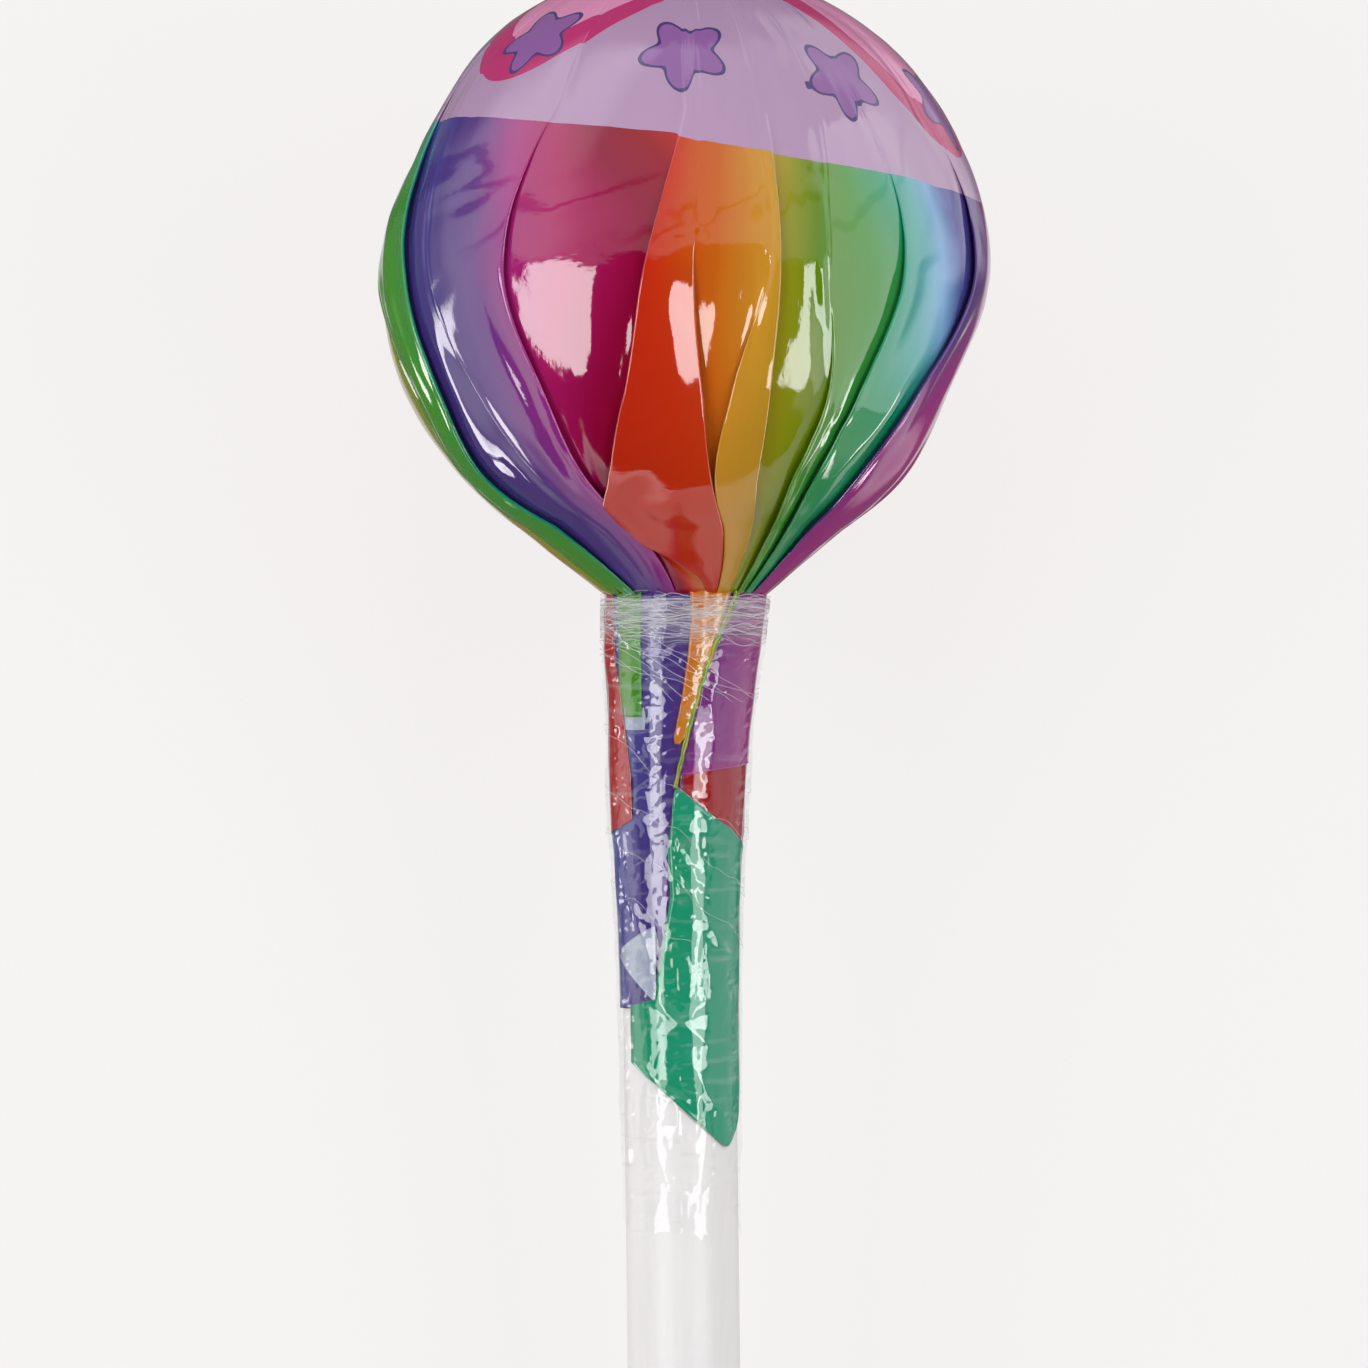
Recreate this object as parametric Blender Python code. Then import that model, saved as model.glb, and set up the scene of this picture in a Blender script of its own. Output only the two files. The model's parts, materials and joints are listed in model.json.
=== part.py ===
"""A giant ball lollipop in a pleated film wrapper, lying on its side.

A square sheet of printed film is drawn over a ball of hard candy, gathered into pleats on the way down and
bound against a thick plastic stick. Its tails lie along the stick under a sleeve of clear stretch film.

The lollipop is modelled upright, with the ball's centre at the origin, +Z through the crown, -Z along the
stick and the shown side towards -Y. An empty then lays it down: the ball rests on a small flat spot and the
far end of the stick touches the floor. The world origin is the middle of that flat spot.
"""

import math

import bmesh
import bpy
from mathutils import Vector

MM = 0.001

# Driving dimensions, with angles in degrees
BALL_R = 52.0 * MM
TOTAL_LENGTH = 400.0 * MM
STICK_R = 9.6 * MM
STICK_END_ROUND = 1.6 * MM
STICK_LEAN = math.radians(0.7)
STICK_OFFSET_X = -2.3 * MM
STICK_TOP_Z = -18.0 * MM
GAP = 0.25 * MM

# The film over the ball: one layer on the crown, pleats from there down
SPHERE_END = 148.0
NECK_STATION = 160.0
NECK_Z = -55.6 * MM
NECK_R = 14.0 * MM
NECK_FOLD_SHARE = 0.5
PLEAT_HIGH = 0.6 * MM
PLEAT_LOW = -1.1 * MM
PLEAT_GROWTH = 34.0
FOLD_STEP = 1.0
PANEL_FRACTIONS = (0.0, 0.25, 0.5, 0.75, 1.0)
# Flats where the film is drawn tight on the candy: station, azimuth, depth, and half its span each way
FLATS = (
    (66, -95, 3.0 * MM, 32, 42),
    (113, 88, 2.6 * MM, 26, 34),
    (84, 138, 1.6 * MM, 26, 24),
    (104, -142, 1.8 * MM, 24, 22),
)
CROWN_RINGS = (9, 18, 28, 38, 47, 56, 65)
PLEAT_RINGS = (73, 81, 89, 96, 103, 110, 117, 124, 131, 138, 144, 148)
CONE_RINGS = (152, 156, 160)

# Each pleat's fold line: its azimuth at five stations down the ball, from the middle of the shown side
# towards +X, then which flap lies on top, the one before the line (1) or the one after it (-1), and the
# station where it begins
FOLD_STATIONS = (60.0, 90.0, 115.0, 138.0, 160.0)
FOLDS = (
    ((-104, -86, -72, -76, -62), -1, 50),
    ((-71, -66, -61, -62, -38), 1, 46),
    ((-29, -36, -30, -25, -8), 1, 56),
    ((0, -7, -12, -22, 5), -1, 58),
    ((4, 2, 3.5, 8, 21), 1, 80),
    ((18, 18, 17.5, 20, 30), 1, 56),
    ((30, 28, 31, 30, 39), -1, 94),
    ((42, 46, 39, 37, 47), -1, 66),
    ((66, 72, 57, 51, 56), -1, 60),
    ((92, 90, 86, 80, 76), 1, 54),
    ((108, 110, 106, 104, 98), -1, 58),
    ((128, 125, 127, 124, 118), 1, 50),
    ((147, 150, 146, 147, 140), 1, 62),
    ((170, 168, 171, 168, 162), -1, 54),
    ((190, 193, 190, 191, 186), 1, 58),
    ((213, 210, 214, 212, 208), -1, 52),
    ((231, 236, 231, 233, 232), 1, 60),
    ((247, 254, 251, 254, 264), -1, 56),
)

# The gathered skirt on the stick: how far its hem hangs below the neck, round the stick
HEM = (
    (-180, 48), (-150, 30), (-118, 64), (-90, 74), (-55, 80), (0, 88),
    (42, 93.4), (78, 82), (92, 70), (122, 40), (150, 68), (180, 48),
)
# Tails of film that lie on the skirt: azimuth from and to, and the depth where each ends
TAILS = (
    (-110, -50, 40.6), (-50, -28, 20.6), (-45, 0, 70.0), (0, 24, 25.0), (24, 92, 41.0),
    (92, 138, 36.0), (150, 196, 46.0), (205, 242, 28.0),
)
TAIL_STEP = 0.6 * MM
SKIRT_ROWS = 13
SKIRT_LEAST_WALL = 0.3 * MM
EVEN_BY = 45.0 * MM

# The clear stretch film: its outer radius at depths below the neck
SLEEVE = (
    (0.4, 14.6), (9, 14.2), (16, 13.4), (26, 12.75), (40, 12.35), (44, 11.75), (57, 11.2),
    (64, 10.9), (94, 10.75), (97, 10.4), (111, 10.3),
)
SLEEVE_WALL = 0.35 * MM
SLEEVE_SIDES = 36
SLEEVE_ROWS = 14
SLEEVE_WAVE = 0.12 * MM
SLEEVE_WAVE_PITCH = 14.0 * MM
SLEEVE_WAVES_ROUND = 3
STEM_SHIFT = 1.9 * MM
STEM_SHIFT_END = 50.0 * MM

STICK_SIDES = 48
STICK_ROUND_STEPS = 3

# The height of the ball's centre above the floor, which cuts the flat spot through the pleats' crests
REST_HEIGHT = BALL_R + 0.1 * MM

CROWN_COLOUR = "#B7A3C6"
PANEL_COLOURS = (
    "#7DB46C", "#4B4A93", "#9E2A7D", "#CC3D24", "#CE7A2C", "#8AA032",
    "#3F9E5A", "#5AA79B", "#6A3D8A", "#B23A86",
)
STICK_COLOUR = "#E6E4E4"
SLEEVE_COLOUR = "#F2F2F4"


def between(table, at):
    """The value at a place in a table of (place, value) pairs, on straight lines from pair to pair."""
    if at <= table[0][0]:
        return table[0][1]
    for (low, a), (high, b) in zip(table, table[1:]):
        if at <= high:
            return a + (b - a) * (at - low) / (high - low)
    return table[-1][1]


def smooth_between(places, values, at):
    """The value at a place on the smooth curve that runs through the values at evenly rising places."""
    if at <= places[0]:
        return values[0]
    if at >= places[-1]:
        return values[-1]
    i = max(k for k in range(len(places) - 1) if places[k] <= at)

    def slope(k):
        before, after = max(k - 1, 0), min(k + 1, len(places) - 1)
        return (values[after] - values[before]) / (places[after] - places[before])

    span = places[i + 1] - places[i]
    t = (at - places[i]) / span
    ends = values[i] * (1 - t) ** 2 * (1 + 2 * t) + values[i + 1] * t * t * (3 - 2 * t)
    turns = slope(i) * t * (1 - t) ** 2 - slope(i + 1) * t * t * (1 - t)
    return ends + turns * span


def eased(share):
    share = min(1.0, max(0.0, share))
    return share * share * (3 - 2 * share)


def linear(hex_colour):
    """An sRGB hex colour as linear RGBA."""
    channels = [int(hex_colour[i : i + 2], 16) / 255 for i in (1, 3, 5)]
    return [c / 12.92 if c < 0.04045 else ((c + 0.055) / 1.055) ** 2.4 for c in channels] + [1.0]


def material(name, hex_colour, roughness, alpha=1.0):
    made = bpy.data.materials.new(name)
    made.use_nodes = True
    shader = made.node_tree.nodes["Principled BSDF"]
    shader.inputs["Base Color"].default_value = linear(hex_colour)
    shader.inputs["Roughness"].default_value = roughness
    shader.inputs["Metallic"].default_value = 0.0
    shader.inputs["Alpha"].default_value = alpha
    made.diffuse_color = linear(hex_colour)
    return made


def stick_x(z):
    """Where the leaning stick's axis passes at a height."""
    return STICK_OFFSET_X - z * math.tan(STICK_LEAN)


def stem_x(depth):
    """The middle of the wrapped stem, which the gathered film shifts from the stick near the neck."""
    shift = max(0.0, 1 - depth / STEM_SHIFT_END)
    return stick_x(NECK_Z - depth) + STEM_SHIFT * shift * shift


def wrapped(azimuth):
    return (azimuth + 180) % 360 - 180


def on_ring(centre_x, radius, azimuth, z):
    turn = math.radians(azimuth)
    return Vector((centre_x + radius * math.sin(turn), -radius * math.cos(turn), z))


def fold_azimuth(index, station):
    turns, fold = divmod(index, len(FOLDS))
    return smooth_between(FOLD_STATIONS, FOLDS[fold][0], station) + 360 * turns


def flap_height(index, station, on_top):
    """How far a flap's edge at a fold line stands off the ball's own radius."""
    begins = FOLDS[index % len(FOLDS)][2]
    grown = eased((station - begins) / PLEAT_GROWTH)
    return grown * (PLEAT_HIGH if on_top else PLEAT_LOW)


def pleated_ring(station):
    """(azimuth, height) round the film at a station: each panel runs from one fold line to the next."""
    ring = []
    for panel in range(len(FOLDS)):
        start, end = fold_azimuth(panel, station), fold_azimuth(panel + 1, station)
        from_height = flap_height(panel, station, FOLDS[panel][1] < 0)
        to_height = flap_height(panel + 1, station, FOLDS[(panel + 1) % len(FOLDS)][1] > 0)
        for fraction in PANEL_FRACTIONS:
            azimuth = start + FOLD_STEP / 2 + fraction * (end - start - FOLD_STEP)
            ring.append((azimuth, from_height + (to_height - from_height) * eased(fraction)))
    return ring


def drawn_tight(station, azimuth):
    """How far the film lies inside the ball's outline where it is drawn flat."""
    depth = 0.0
    for at_station, at_azimuth, deepest, tall, wide in FLATS:
        away = math.hypot((station - at_station) / tall, wrapped(azimuth - at_azimuth) / wide)
        depth = max(depth, deepest * eased(1 - away))
    return depth


def ball_ring(station):
    """A ring of the film on the ball, or on the cone that draws in to the neck."""
    points = []
    on_ball = math.radians(min(station, SPHERE_END))
    drawn_in = max(0.0, station - SPHERE_END) / (NECK_STATION - SPHERE_END)
    for azimuth, height in pleated_ring(station):
        reach = BALL_R + height - drawn_tight(station, azimuth)
        radius, z = reach * math.sin(on_ball), reach * math.cos(on_ball)
        at_neck = NECK_R + min(0.0, height) * NECK_FOLD_SHARE
        radius += (at_neck - radius) * drawn_in
        z += (NECK_Z - z) * drawn_in
        points.append(on_ring(stem_x(0) * drawn_in, radius, azimuth, z))
    return points


def skirt_radius(depth, azimuth):
    """The gathered film's outside: as wide as the sleeve lets it be on a tail, and a step less off one."""
    widest = between(SLEEVE, depth / MM) * MM - SLEEVE_WALL - GAP
    thinnest = STICK_R + GAP + SKIRT_LEAST_WALL
    on_tail = any(
        (wrapped(azimuth) - first) % 360 <= last - first and depth / MM < end
        for first, last, end in TAILS
    )
    return widest if on_tail else max(thinnest, widest - TAIL_STEP)


def skirt_ring(share):
    """A ring of the skirt, at a share of the way from the neck to the hem."""
    columns = pleated_ring(NECK_STATION)
    first = columns[0][0]
    points = []
    for index, (gathered, _) in enumerate(columns):
        hem = between(HEM, wrapped(gathered)) * MM
        even = first + 360 * index / len(columns)
        azimuth = gathered + (even - gathered) * eased(share * hem / EVEN_BY)
        depth = share * between(HEM, wrapped(azimuth)) * MM
        radius = skirt_radius(depth, azimuth)
        points.append(on_ring(stem_x(depth), radius, azimuth, NECK_Z - depth))
    return points


def bore_ring(z_of):
    """A ring of the hole that the stick fills, at the height that z_of gives for each azimuth."""
    count = len(FOLDS) * len(PANEL_FRACTIONS)
    first = pleated_ring(NECK_STATION)[0][0]
    points = []
    for index in range(count):
        azimuth = first + 360 * index / count
        z = z_of(azimuth)
        points.append(on_ring(stick_x(z), STICK_R + GAP, azimuth, z))
    return points


def hem_z(azimuth):
    return NECK_Z - between(HEM, wrapped(azimuth)) * MM


def bridge(mesh, upper, lower, slots=None):
    """Quads between two rings of as many points, each in the material slot given for its place."""
    for i in range(len(upper)):
        j = (i + 1) % len(upper)
        face = mesh.faces.new((upper[i], upper[j], lower[j], lower[i]))
        face.material_index = slots[i] if slots else 0


def fan(mesh, ring, centre):
    tip = mesh.verts.new(centre)
    for i in range(len(ring)):
        mesh.faces.new((ring[i], ring[(i + 1) % len(ring)], tip))


def ring_verts(mesh, points):
    return [mesh.verts.new(p) for p in points]


def finish(name, mesh, materials, smooth_angle=40):
    """Turns a bmesh into an object, with its faces pointing out and its round faces shaded smooth."""
    bmesh.ops.recalc_face_normals(mesh, faces=mesh.faces)
    data = bpy.data.meshes.new(name)
    mesh.to_mesh(data)
    mesh.free()
    for one in materials:
        data.materials.append(one)
    data.shade_smooth()
    data.set_sharp_from_angle(angle=math.radians(smooth_angle))
    made = bpy.data.objects.new(name, data)
    bpy.context.scene.collection.objects.link(made)
    return made


def flatten_spot(mesh, down):
    """Cuts the ball level where it rests and closes the cut with one flat face."""
    everything = mesh.verts[:] + mesh.edges[:] + mesh.faces[:]
    cut = bmesh.ops.bisect_plane(
        mesh, geom=everything, plane_co=down * REST_HEIGHT, plane_no=down, clear_outer=True
    )
    edges = [g for g in cut["geom_cut"] if isinstance(g, bmesh.types.BMEdge)]
    bmesh.ops.contextual_create(mesh, geom=edges)


def wrapped_ball(down):
    """The candy and its film in one solid: the ball, its pleats, the neck and the gathered skirt."""
    mesh = bmesh.new()
    rings = [ring_verts(mesh, ball_ring(s)) for s in CROWN_RINGS + PLEAT_RINGS + CONE_RINGS]
    rings += [ring_verts(mesh, skirt_ring((row + 1) / SKIRT_ROWS)) for row in range(SKIRT_ROWS)]
    rings.append(ring_verts(mesh, bore_ring(hem_z)))
    rings.append(ring_verts(mesh, bore_ring(lambda azimuth: STICK_TOP_Z)))
    panel_slots = [1 + p % len(PANEL_COLOURS) for p in range(len(FOLDS)) for _ in PANEL_FRACTIONS]
    for row, (upper, lower) in enumerate(zip(rings, rings[1:])):
        bridge(mesh, upper, lower, panel_slots if row + 1 >= len(CROWN_RINGS) else None)
    fan(mesh, rings[0], Vector((0, 0, BALL_R)))
    fan(mesh, rings[-1], Vector((stick_x(STICK_TOP_Z), 0, STICK_TOP_Z)))
    flatten_spot(mesh, down)
    film = [material("film_crown", CROWN_COLOUR, 0.15)]
    film += [material(f"film_panel_{i}", c, 0.15) for i, c in enumerate(PANEL_COLOURS)]
    return finish("wrapped_ball", mesh, film, smooth_angle=25)


def stick():
    """A round plastic stick, let into the candy at the top, with a softly rounded lower end."""
    end_z = BALL_R - TOTAL_LENGTH
    profile = [(STICK_R, STICK_TOP_Z - GAP), (STICK_R, NECK_Z), (STICK_R, end_z + STICK_END_ROUND)]
    for step in range(1, STICK_ROUND_STEPS + 1):
        turn = math.pi / 2 * step / STICK_ROUND_STEPS
        radius = STICK_R - STICK_END_ROUND * (1 - math.cos(turn))
        profile.append((radius, end_z + STICK_END_ROUND * (1 - math.sin(turn))))
    mesh = bmesh.new()
    azimuths = [360 * i / STICK_SIDES for i in range(STICK_SIDES)]
    rings = [ring_verts(mesh, [on_ring(stick_x(z), r, a, z) for a in azimuths]) for r, z in profile]
    for upper, lower in zip(rings, rings[1:]):
        bridge(mesh, upper, lower)
    for ring in (rings[0], rings[-1]):
        mesh.faces.new(ring)
    return finish("stick", mesh, [material("stick_plastic", STICK_COLOUR, 0.28)])


def sleeve_radius(depth, azimuth):
    """The stretch film's outside, with the slight waves that its windings leave."""
    turn = math.radians(azimuth)
    down = math.tau * depth / SLEEVE_WAVE_PITCH
    wave = math.sin(SLEEVE_WAVES_ROUND * turn + down / 2) * math.sin(down + turn)
    return between(SLEEVE, depth / MM) * MM + SLEEVE_WAVE * (wave + 1)


def clear_sleeve():
    """The stretch film wound round the stem, as a thin sleeve open at both ends."""
    top, bottom = SLEEVE[0][0] * MM, SLEEVE[-1][0] * MM
    depths = [top + (bottom - top) * row / SLEEVE_ROWS for row in range(SLEEVE_ROWS + 1)]
    azimuths = [360 * i / SLEEVE_SIDES for i in range(SLEEVE_SIDES)]
    mesh = bmesh.new()

    def outer(depth):
        return [on_ring(stem_x(depth), sleeve_radius(depth, a), a, NECK_Z - depth) for a in azimuths]

    def inner(depth):
        radius = between(SLEEVE, depth / MM) * MM - SLEEVE_WALL
        return [on_ring(stem_x(depth), radius, a, NECK_Z - depth) for a in azimuths]

    rings = [ring_verts(mesh, outer(d)) for d in depths]
    rings += [ring_verts(mesh, inner(d)) for d in reversed(depths)]
    for upper, lower in zip(rings, rings[1:] + rings[:1]):
        bridge(mesh, upper, lower)
    return finish("clear_sleeve", mesh, [material("stretch_film", SLEEVE_COLOUR, 0.1, alpha=0.3)])


def resting_tilt():
    """The stick's slope when the ball and the rim at the stick's far end both touch the floor."""
    reach = TOTAL_LENGTH - BALL_R - STICK_END_ROUND
    return math.asin(REST_HEIGHT / math.hypot(reach, STICK_R)) - math.atan2(STICK_R, reach)


def build():
    for old in list(bpy.data.objects):
        bpy.data.objects.remove(old)
    tilt = resting_tilt()
    down = Vector((0, math.cos(tilt), -math.sin(tilt)))
    laid_down = bpy.data.objects.new("laid_down", None)
    laid_down.location = (0, 0, REST_HEIGHT)
    laid_down.rotation_euler = (tilt - math.pi / 2, 0, 0)
    bpy.context.scene.collection.objects.link(laid_down)
    for piece in (wrapped_ball(down), stick(), clear_sleeve()):
        piece.parent = laid_down


build()
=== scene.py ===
"""A giant ball lollipop in its wrapper: the looks of its stick, its printed film and its stretch film."""

import json
import math

import bmesh
import bpy
from mathutils import Matrix, Vector, noise

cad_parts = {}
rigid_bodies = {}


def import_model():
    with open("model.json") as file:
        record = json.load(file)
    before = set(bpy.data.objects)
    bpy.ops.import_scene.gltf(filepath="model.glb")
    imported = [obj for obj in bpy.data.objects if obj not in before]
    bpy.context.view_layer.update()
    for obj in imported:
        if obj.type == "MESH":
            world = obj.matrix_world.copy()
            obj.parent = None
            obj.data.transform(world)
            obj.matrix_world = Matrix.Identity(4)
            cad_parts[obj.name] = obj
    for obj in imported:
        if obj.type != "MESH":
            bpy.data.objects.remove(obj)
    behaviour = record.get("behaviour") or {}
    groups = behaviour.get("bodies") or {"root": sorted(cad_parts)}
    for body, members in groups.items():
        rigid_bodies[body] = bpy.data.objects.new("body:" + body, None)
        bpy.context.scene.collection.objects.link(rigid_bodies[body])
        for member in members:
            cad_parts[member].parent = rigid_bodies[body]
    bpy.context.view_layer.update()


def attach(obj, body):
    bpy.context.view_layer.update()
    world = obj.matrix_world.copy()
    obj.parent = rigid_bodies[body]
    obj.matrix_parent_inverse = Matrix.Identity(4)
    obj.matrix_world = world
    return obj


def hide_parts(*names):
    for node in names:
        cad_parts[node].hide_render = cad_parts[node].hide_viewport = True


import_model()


# The stick
# A thick extruded polypropylene stick, milky white and smooth, cast into the candy. Every piece here is
# shaped upright, with the crown up and the shown side towards -Y, and is then laid down as the solids are.

MM = 0.001
BALL_R = 52.0 * MM
TOTAL_LENGTH = 400.0 * MM
STICK_R = 9.6 * MM
STICK_END_ROUND = 1.6 * MM
STICK_LEAN = math.radians(0.7)
STICK_OFFSET_X = -2.3 * MM
STICK_TOP_Z = -18.5 * MM
STICK_SIDES = 144
STICK_ROUND_STEPS = 8
# The die leaves streaks about 1.1 mm wide and 83 mm long down the stick, here in streaks to the metre
STICK_STREAKS = (900, 12, 900)
REST_HEIGHT = BALL_R + 0.1 * MM
STICK_REACH = TOTAL_LENGTH - BALL_R - STICK_END_ROUND
TILT = math.asin(REST_HEIGHT / math.hypot(STICK_REACH, STICK_R)) - math.atan2(STICK_R, STICK_REACH)
LAID_DOWN = Matrix.Translation((0, 0, REST_HEIGHT)) @ Matrix.Rotation(TILT - math.pi / 2, 4, "X")


def linear(hex_colour):
    """An sRGB hex colour as linear RGBA."""
    channels = [int(hex_colour[i : i + 2], 16) / 255 for i in (1, 3, 5)]
    return [c / 12.92 if c < 0.04045 else ((c + 0.055) / 1.055) ** 2.4 for c in channels] + [1.0]


def add(tree, kind, sockets=(), **settings):
    """Adds a node with its settings, and sets or links its inputs, given in order or by name or number."""
    node = tree.nodes.new(kind)
    for name, value in settings.items():
        setattr(node, name, value)
    # A node given as a value stands for its first output
    for key, value in sockets.items() if isinstance(sockets, dict) else enumerate(sockets):
        if isinstance(value, bpy.types.Node):
            value = value.outputs[0]
        if isinstance(value, bpy.types.NodeSocket):
            tree.links.new(value, node.inputs[key])
        else:
            node.inputs[key].default_value = value
    return node


def new_material(name):
    """An empty node material, and its tree."""
    made = bpy.data.materials.new(name)
    made.use_nodes = True
    made.node_tree.nodes.clear()
    return made, made.node_tree


def stick_x(z):
    """Where the leaning stick's axis passes at a height."""
    return STICK_OFFSET_X - z * math.tan(STICK_LEAN)


def around(centre_x, radius, azimuth, z):
    """A point at an azimuth round an upright axis, from the middle of the shown side towards +X."""
    turn = math.radians(azimuth)
    return Vector((centre_x + radius * math.sin(turn), -radius * math.cos(turn), z))


def lay_down(name, points, faces, material):
    """Makes an object from upright points, laid down in its mesh and kept above the floor."""
    mesh = bpy.data.meshes.new(name)
    placed = [LAID_DOWN @ p for p in points]
    for p in placed:
        p.z = max(p.z, 0.0)
    mesh.from_pydata(placed, [], faces)
    mesh.materials.append(material)
    mesh.shade_smooth()
    made = bpy.data.objects.new(name, mesh)
    bpy.context.scene.collection.objects.link(made)
    return made


def belongs(piece, node):
    """Fixes a piece to the lollipop in place of a solid."""
    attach(piece, "root")
    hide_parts(node)


def grid_faces(rows, columns, closed):
    """Faces between rows of points that run downwards, and from left to right seen from outside."""
    faces = []
    for row in range(rows - 1):
        for i in range(columns if closed else columns - 1):
            upper, beside = row * columns, (i + 1) % columns
            lower = upper + columns
            faces.append((upper + i, lower + i, lower + beside, upper + beside))
    return faces


def lathed(profile, sides):
    """Points and faces of a closed round shape about the leaning stick's axis, from (radius, z) pairs."""
    points = [around(stick_x(z), r, 360 * i / sides, z) for r, z in profile for i in range(sides)]
    faces = grid_faces(len(profile), sides, True)
    for row, z in ((0, profile[0][1]), (len(profile) - 1, profile[-1][1])):
        tip = len(points)
        points.append(Vector((stick_x(z), 0, z)))
        for i in range(sides):
            pair = (row * sides + i, row * sides + (i + 1) % sides)
            faces.append((*pair, tip) if row == 0 else (pair[1], pair[0], tip))
    return points, faces


def extruded_polypropylene():
    """Milky polypropylene from a die: faint streaks, a soft gloss, and light that goes a little way in."""
    made, tree = new_material("extruded_polypropylene")
    place = add(tree, "ShaderNodeTexCoord").outputs["Object"]
    drawn = add(tree, "ShaderNodeMapping", {"Vector": place, "Scale": STICK_STREAKS})
    streaks = add(tree, "ShaderNodeTexNoise", {"Vector": drawn, "Scale": 1.0, "Detail": 2.0})
    tones = {0: streaks, 6: linear("#E5E2E2"), 7: linear("#EDEAEA")}
    look = {
        "Base Color": add(tree, "ShaderNodeMix", tones, data_type="RGBA").outputs[2],
        "Roughness": 0.42,
        "IOR": 1.49,
        "Specular IOR Level": 0.22,
        "Subsurface Weight": 0.25,
        "Subsurface Radius": (1.0, 1.0, 1.0),
        "Subsurface Scale": 2.0 * MM,
        "Normal": add(tree, "ShaderNodeBump", {"Height": streaks, "Strength": 0.06, "Distance": 0.2 * MM}),
    }
    skin = add(tree, "ShaderNodeBsdfPrincipled", look)
    add(tree, "ShaderNodeOutputMaterial", {"Surface": skin})
    return made


def stick_profile():
    """The stick's outline from its blind end in the candy to its rounded lower end."""
    end_z = BALL_R - TOTAL_LENGTH
    rows = [(STICK_R, STICK_TOP_Z), (STICK_R, -60 * MM), (STICK_R, -170 * MM), (STICK_R, -250 * MM)]
    for step in range(STICK_ROUND_STEPS + 1):
        turn = math.pi / 2 * step / STICK_ROUND_STEPS
        radius = STICK_R - STICK_END_ROUND * (1 - math.cos(turn))
        rows.append((radius, end_z + STICK_END_ROUND * (1 - math.sin(turn))))
    return rows


stick = lay_down("stick_extrusion", *lathed(stick_profile(), STICK_SIDES), extruded_polypropylene())
belongs(stick, "stick")


# The printed film over the ball
# A square of glossy printed polypropylene film, laid on the crown and drawn down round the candy. From the
# widest part down it is taken up in knife pleats, each a flap folded over its neighbour.

SPHERE_END = 148.0
NECK_STATION = 160.0
NECK_Z = -55.6 * MM
NECK_R = 14.0 * MM
NECK_FOLD_SHARE = 0.5
PLEAT_HIGH = 0.6 * MM
PLEAT_LOW = -0.8 * MM
PLEAT_GROWTH = 34.0
SHEET_SIDE = 344.0 * MM
STEM_SHIFT = 1.9 * MM
STEM_SHIFT_END = 50.0 * MM
# Places on the ball are given by station, the degrees down from the crown, and azimuth, the degrees from the
# middle of the shown side towards +X. Depths are in mm.
# Flats where the film is drawn tight on the candy: station, azimuth, depth, and half its span each way
FLATS = (
    (66, -95, 3.0, 32, 42),
    (113, 88, 2.6, 26, 34),
    (84, 138, 1.6, 26, 24),
    (104, -142, 1.8, 24, 22),
)
# Each pleat's fold line: its azimuth at five stations, which flap lies on top, the one before the line (1)
# or after it (-1), the station where it begins, and the azimuths on the flat sheet of what meets there
FOLD_STATIONS = (60.0, 90.0, 115.0, 138.0, 160.0)
FOLDS = (
    ((-104, -86, -73, -77, -62), -1, 50, (-92, -89)),
    ((-71, -66, -61, -62, -38), 1, 46, (-86, -57)),
    ((-59, -57, -47, -37.5, -23), -1, 92, (-53, -49)),
    ((-29, -36, -30, -25, -8), 1, 56, (-41, -34)),
    ((0, -7, -12, -22, 5), -1, 58, (-20, -5)),
    ((4, 2, 3.5, 8, 21), 1, 80, (-2, 6)),
    ((15, 15.8, 10, 9.2, 23.5), -1, 89, (9, 14.5)),
    ((18, 18, 17.5, 20, 30), 1, 56, (17, 21)),
    ((30, 28, 31, 30, 39), -1, 94, (27, 31)),
    ((42, 46, 39, 37, 47), -1, 66, (35, 41)),
    ((66, 72, 57, 51, 56), -1, 60, (60, 68)),
    ((92, 90, 86, 80, 76), 1, 54, (86, 96)),
    ((108, 110, 106, 104, 98), -1, 58, (99, 105)),
    ((128, 125, 127, 124, 118), 1, 50, (117, 125)),
    ((147, 150, 146, 147, 140), 1, 62, (140, 146)),
    ((170, 168, 171, 168, 162), -1, 54, (164, 172)),
    ((190, 193, 190, 191, 186), 1, 58, (187, 194)),
    ((213, 210, 214, 212, 208), -1, 52, (210, 217)),
    ((231, 236, 231, 233, 232), 1, 60, (228, 235)),
    ((247, 254, 251, 254, 264), -1, 56, (243, 252)),
)
# The top flap's left edge is cut off above the neck: its fold's number, and (station, azimuth) points
CUT_FOLD = 4
CUT_EDGE = ((115, -12), (130.2, -17.6), (136, -20.6), (141.3, -24.5), (149.9, -20.6), (152.2, -12.4),
            (157.2, 9), (160, 17))
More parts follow.
